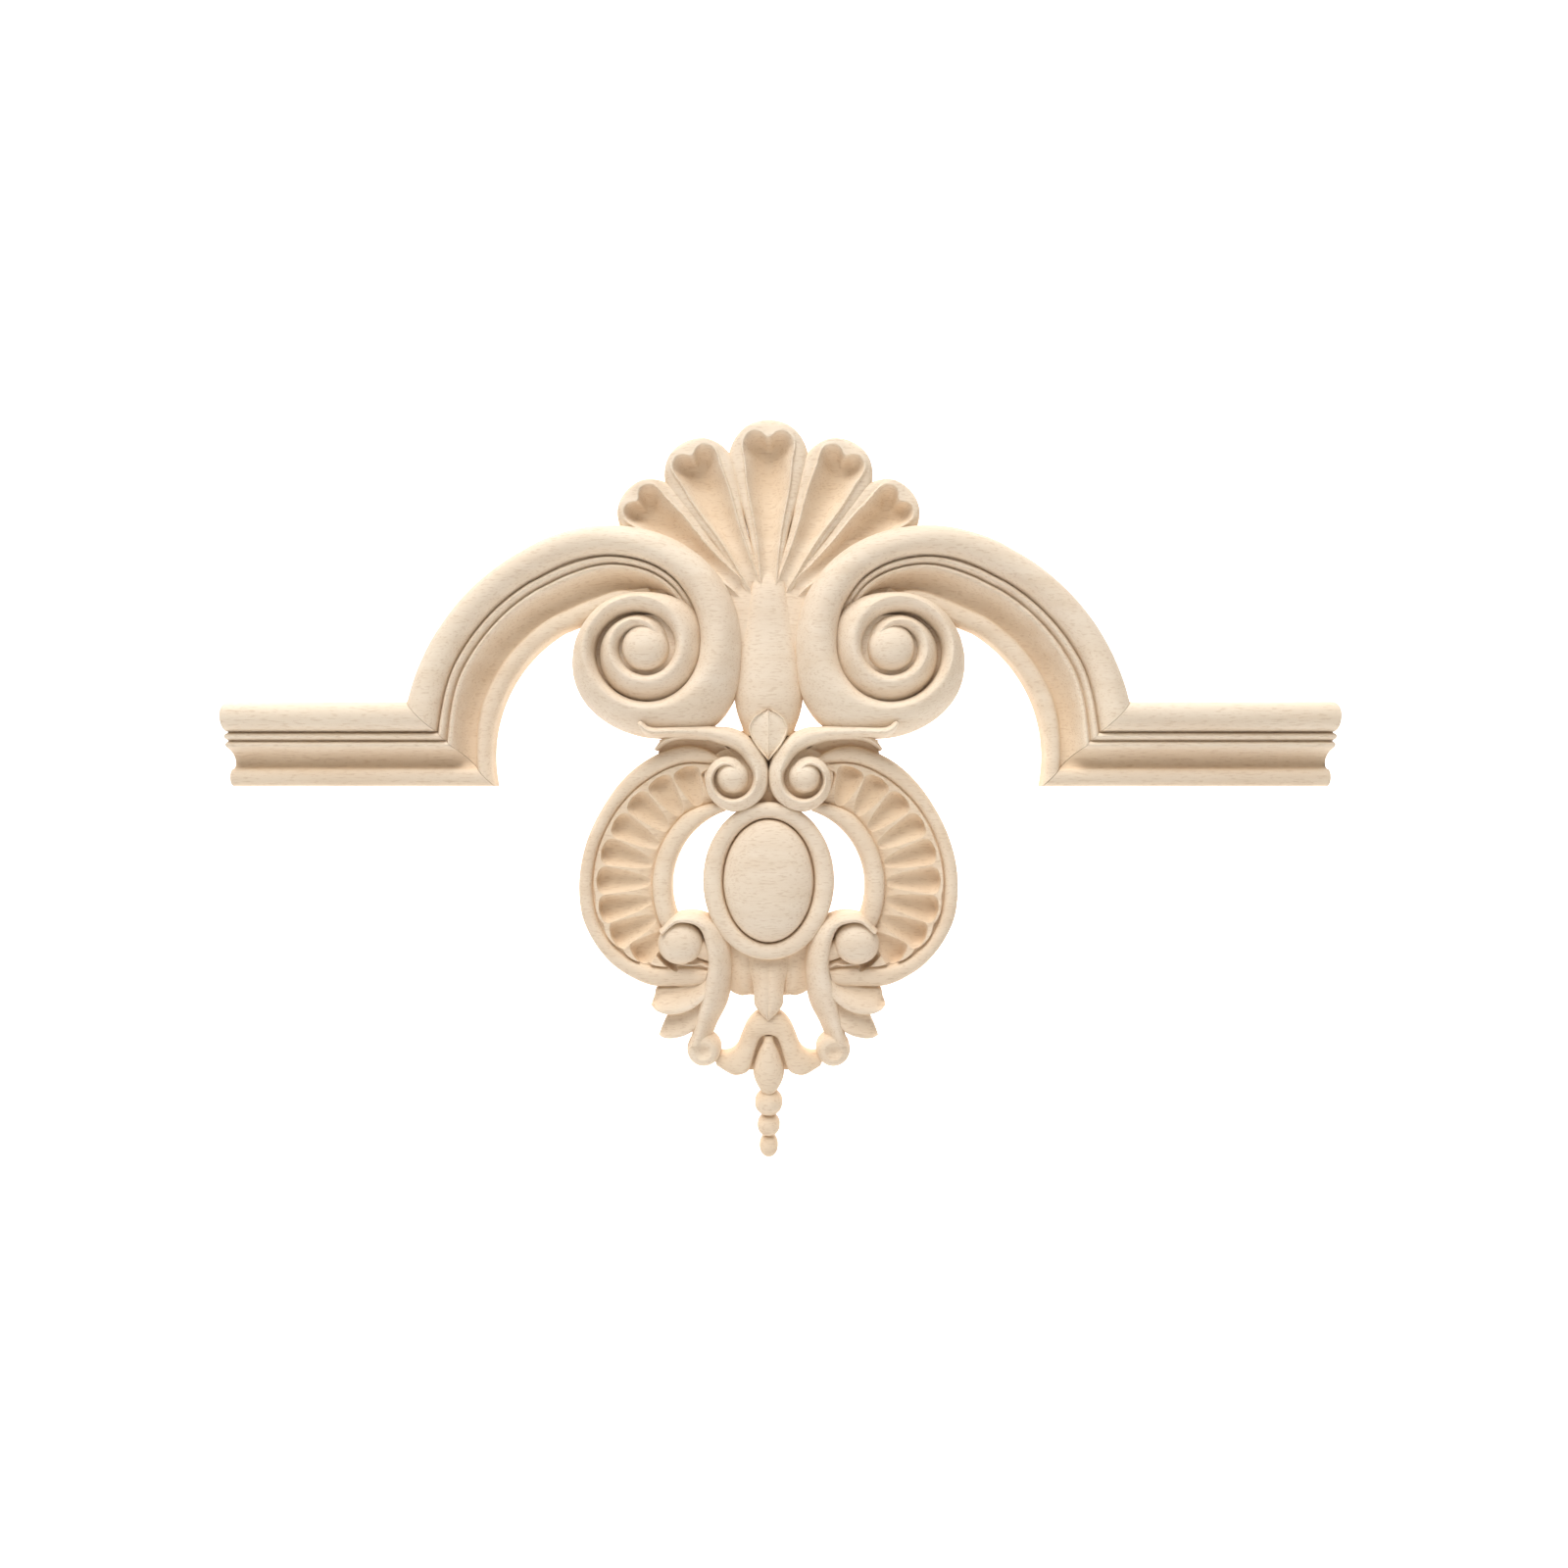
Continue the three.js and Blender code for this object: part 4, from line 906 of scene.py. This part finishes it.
def raw_wood():
    """Pale sanded wood: grain along X, short dark pores, a faint fleck, a soft tooth and painted shade on the
    low, recessed surfaces.
    """
    material = bpy.data.materials.new("raw_wood")
    material.use_nodes = True
    tree = material.node_tree
    shader = tree.nodes["Principled BSDF"]
    shader.inputs["Roughness"].default_value = 0.62
    shader.inputs["Specular IOR Level"].default_value = 0.3
    place = tree.nodes.new("ShaderNodeTexCoord")

    def grain(name, scale, size, detail, roughness):
        stretch = tree.nodes.new("ShaderNodeMapping")
        stretch.inputs["Scale"].default_value = scale
        tree.links.new(place.outputs["Object"], stretch.inputs["Vector"])
        texture = tree.nodes.new("ShaderNodeTexNoise")
        texture.name = name
        texture.inputs["Scale"].default_value = size
        texture.inputs["Detail"].default_value = detail
        texture.inputs["Roughness"].default_value = roughness
        tree.links.new(stretch.outputs["Vector"], texture.inputs["Vector"])
        return texture.outputs["Fac"]

    def ramp(value, stops):
        node = tree.nodes.new("ShaderNodeValToRGB")
        while len(node.color_ramp.elements) < len(stops):
            node.color_ramp.elements.new(0.5)
        for element, (position, colour) in zip(node.color_ramp.elements, stops):
            element.position = position
            element.color = (*colour, 1)
        tree.links.new(value, node.inputs["Fac"])
        return node.outputs["Color"]

    def multiply(a, b, share):
        node = tree.nodes.new("ShaderNodeMix")
        node.data_type = "RGBA"
        node.blend_type = "MULTIPLY"
        node.inputs["Factor"].default_value = share
        tree.links.new(a, node.inputs["A"])
        tree.links.new(b, node.inputs["B"])
        return node.outputs["Result"]

    streaks = grain("streaks", (0.12, 1, 1), 90, 4, 0.55)
    pores = grain("pores", (0.16, 1, 1), 900, 2, 0.5)
    clouds = grain("clouds", (0.5, 1, 1), 14, 2, 0.5)
    tooth = grain("tooth", (0.5, 1, 1), 1500, 3, 0.6)
    colour = ramp(streaks, [(0.3, (0.83, 0.69, 0.53)), (0.7, (0.90, 0.78, 0.63))])
    colour = multiply(colour, ramp(clouds, [(0.3, (0.94, 0.92, 0.92)), (0.7, (1, 1, 1))]), 0.8)
    colour = multiply(colour, ramp(pores, [(0.34, (0.72, 0.62, 0.52)), (0.46, (1, 1, 1))]), 0.4)
    parts = tree.nodes.new("ShaderNodeSeparateXYZ")
    tree.links.new(place.outputs["Object"], parts.inputs["Vector"])
    # Painted shade: surfaces less than 19 mm in front of the back are tinted warmer and darker, fully so at 6
    # mm, in place of the shade that falls in the recesses.
    recess_shade = tree.nodes.new("ShaderNodeMapRange")
    recess_shade.inputs["From Min"].default_value = -0.006
    recess_shade.inputs["From Max"].default_value = -0.019
    tree.links.new(parts.outputs["Y"], recess_shade.inputs["Value"])
    colour = multiply(colour, ramp(recess_shade.outputs["Result"], [(0, (0.95, 0.86, 0.75)), (1, (1, 1, 1))]), 1)
    tree.links.new(colour, shader.inputs["Base Color"])
    rough = tree.nodes.new("ShaderNodeMath")
    rough.operation = "MULTIPLY_ADD"
    tree.links.new(pores, rough.inputs[0])
    rough.inputs[1].default_value = 0.6
    tree.links.new(tooth, rough.inputs[2])
    bump = tree.nodes.new("ShaderNodeBump")
    bump.inputs["Strength"].default_value = 0.28
    bump.inputs["Distance"].default_value = 0.0005
    tree.links.new(rough.outputs[0], bump.inputs["Height"])
    tree.links.new(bump.outputs["Normal"], shader.inputs["Normal"])
    return material


def plain(name, colour, roughness=0.9):
    """Plain matt material of the studio."""
    material = bpy.data.materials.new(name)
    material.use_nodes = True
    shader = material.node_tree.nodes["Principled BSDF"]
    shader.inputs["Base Color"].default_value = (*colour, 1)
    shader.inputs["Roughness"].default_value = roughness
    shader.inputs["Specular IOR Level"].default_value = 0
    return material


# Angle past which an edge stays crisp, and how far hand sanding wanders from the true surface (metres)
CRISP_ANGLE = 38
HAND_WAVER = 0.00012


def show(name, mesh, node, soften=0.0):
    """Puts a finished mesh in the scene in place of its CAD node."""
    if soften:
        for vertex in mesh.vertices:
            if vertex.co.y < -0.002:
                broad, fine = noise.noise_vector(vertex.co * 60), noise.noise_vector(vertex.co * 190)
                sway = broad * soften + fine * soften * 0.4
                vertex.co += Vector((sway.x, max(0, sway.y) * 0.5, sway.z))
                vertex.co = Vector([min(max(c, low), high) for c, low, high in zip(vertex.co, *cad_box)])
    mesh.shade_smooth()
    mesh.set_sharp_from_angle(angle=math.radians(CRISP_ANGLE))
    piece = bpy.data.objects.new(name, mesh)
    bpy.context.scene.collection.objects.link(piece)
    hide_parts(node)
    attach(piece, "root")
    return piece


wood = raw_wood()
empty = bpy.data.meshes.new("nothing")


def straight_profile():
    """Closed face of the moulding's profile, standing across the path."""
    outline = INNER_PROFILE[:-1] + [
        (roll_point(p, ROLL_FOOT, ROLL_CREST, MOULDING_WIDTH),
         roll_height(p, ROLL_FOOT_HEIGHT, MOULDING_HEIGHT, ROLL_EDGE_HEIGHT, 2.1)) for p in ROLL_PLACES]
    points = [(0, 0)] + outline + [(MOULDING_WIDTH, 0)]
    mesh = bpy.data.meshes.new("moulding profile")
    mesh.from_pydata([(0, -h * MM, (LOW + w) * MM) for w, h in points], [], [list(range(len(points)))])
    return mesh


def make_straights():
    """Sweeps both straight mouldings to their mitres and puts them in the scene."""
    tree = straight_tree()
    start = (MITRE_LOW + GLUE_GAP * math.sqrt(2)) * MM
    for name, reach, side in (("straight_moulding_left", LEFT_REACH, -1),
                              ("straight_moulding_right", RIGHT_REACH, 1)):
        mesh = made_by(tree, name, straight_profile(), {
            "Length": reach * MM - start, "Mitre Lean": (MITRE_HIGH - MITRE_LOW) / MOULDING_WIDTH,
            "Low Edge": LOW * MM,
            "Finish": wood})
        for vertex in mesh.vertices:
            vertex.co.x = side * (vertex.co.x + start)
        if side < 0:
            mesh.flip_normals()
        show(name + "_wood", mesh, name)


def fluted_ring():
    """The ring with its hollows cut by the tool, as a mesh of the right half."""
    tool = hollow_tool()
    bearings = [HOLLOW_FIRST + HOLLOW_STEP * n for n in range(HOLLOW_COUNT)]
    starts = [min(ring_opening(min(b, 118)) + 15.6, RING_RADIUS * 0.572) for b in bearings]
    marks = bpy.data.meshes.new("hollow places")
    corners = [from_ring(b, start) for b, start in zip(bearings, starts)]
    marks.from_pydata([(x * MM, 0, z * MM) for x, z in corners], [], [])
    lean = marks.attributes.new("lean", "FLOAT_VECTOR", "POINT")
    reach = marks.attributes.new("reach", "FLOAT_VECTOR", "POINT")
    for n, bearing in enumerate(bearings):
        length = through(RING_LINE, bearing) * RING_RADIUS - 1.9 - starts[n]
        lean.data[n].vector = (0, math.radians(bearing), 0)
        reach.data[n].vector = (1, 1, max(length, 6) * MM)
    places = bpy.data.objects.new("hollow places", marks)
    ring = ring_body()
    return made_by(hollows_tree(), "fluted_ring", ring.data, {"Tool": tool, "Places": places, "Finish": wood})


def mirrored(mesh, name):
    """Mirror image of a mesh as an object, with its faces turned outward again."""
    other = mesh.copy()
    for vertex in other.vertices:
        vertex.co.x = -vertex.co.x
    other.flip_normals()
    return bpy.data.objects.new(name, other)


def make_crest():
    """Joins the carving and puts it in the scene."""
    ring = fluted_ring()
    parts = [bpy.data.objects.new("ring_right", ring), mirrored(ring, "ring_left")]
    parts += [stem(), ground(), knot_ground(), oval_boss(), lower_plate(), drop_leaf(), centre_leaf(),
              bell_flower(), bud(), bud_ground()]
    parts += drops() + [shell_lobe(CENTRE_LOBE, CENTRE_ROOT)]
    for mirror in (False, True):
        for make in (arch_roll, inner_turn, arch_inside, volute_eye, volute_ground, small_scroll,
                     scroll_eye, scroll_channel,
                     scroll_tongue, lower_band, lower_eye, lower_knob, upper_leaf, lower_leaf):
            parts.append(make(mirror))
        parts.append(shell_lobe(UPPER_LOBE, UPPER_ROOT, mirror))
        parts.append(shell_lobe(LOWER_LOBE, LOWER_ROOT, mirror))
    mesh = made_by(joining_tree(parts), "carved_crest", empty, {"Finish": wood})
    show("carved_crest_wood", mesh, "carved_crest", soften=HAND_WAVER)


make_straights()
make_crest()


# White ground, floor, lights and camera

def sheet_of(name, corners, material):
    """Flat sheet of the studio."""
    mesh = bpy.data.meshes.new(name)
    mesh.from_pydata(corners, [], [(0, 1, 2, 3)])
    mesh.materials.append(material)
    sheet = bpy.data.objects.new(name, mesh)
    bpy.context.scene.collection.objects.link(sheet)


FLOOR_Z = -0.75
BACKDROP_Y = 0.5
white = plain("white ground", (0.96, 0.96, 0.96))
sheet_of("floor", [(-4, -3, FLOOR_Z), (4, -3, FLOOR_Z), (4, 3, FLOOR_Z), (-4, 3, FLOOR_Z)], white)
lit = plain("lit backdrop", (0.9, 0.9, 0.9))
lit.node_tree.nodes["Principled BSDF"].inputs["Emission Color"].default_value = (1, 1, 1, 1)
lit.node_tree.nodes["Principled BSDF"].inputs["Emission Strength"].default_value = 1.0
sheet_of("backdrop", [(-4, BACKDROP_Y, -3), (4, BACKDROP_Y, -3), (4, BACKDROP_Y, 3), (-4, BACKDROP_Y, 3)],
         lit)


def soft_light(name, place, aim, size, power, colour):
    """Square soft light aimed at a point."""
    data = bpy.data.lights.new(name, "AREA")
    data.shape = "SQUARE"
    data.size = size
    data.energy = power
    data.color = colour
    lamp = bpy.data.objects.new(name, data)
    lamp.location = place
    lamp.rotation_euler = (Vector(aim) - Vector(place)).to_track_quat("-Z", "Y").to_euler()
    bpy.context.scene.collection.objects.link(lamp)


KEY_PLACE, KEY_SIZE, KEY_POWER = (-0.35, -1.0, 1.9), 1.5, 52
STUDIO_WHITE = 0.25
soft_light("key", KEY_PLACE, (0, 0, 0), KEY_SIZE, KEY_POWER, (1, 0.985, 0.96))
world = bpy.data.worlds.new("white studio")
world.use_nodes = True
world.node_tree.nodes["Background"].inputs["Color"].default_value = (1, 1, 1, 1)
world.node_tree.nodes["Background"].inputs["Strength"].default_value = STUDIO_WHITE
scene = bpy.context.scene
scene.world = world
scene.view_settings.view_transform = "Standard"

CAMERA_X, CAMERA_Z = 11 * MM, -28.4 * MM
CAMERA_DISTANCE = 0.75
SEEN_WIDTH = 1.136
lens = bpy.data.cameras.new("camera")
lens.sensor_width = 36
lens.lens = 36 * CAMERA_DISTANCE / SEEN_WIDTH
camera = bpy.data.objects.new("camera", lens)
camera.location = (CAMERA_X, -CAMERA_DISTANCE, CAMERA_Z)
camera.rotation_euler = (math.radians(90), 0, 0)
scene.collection.objects.link(camera)
scene.camera = camera
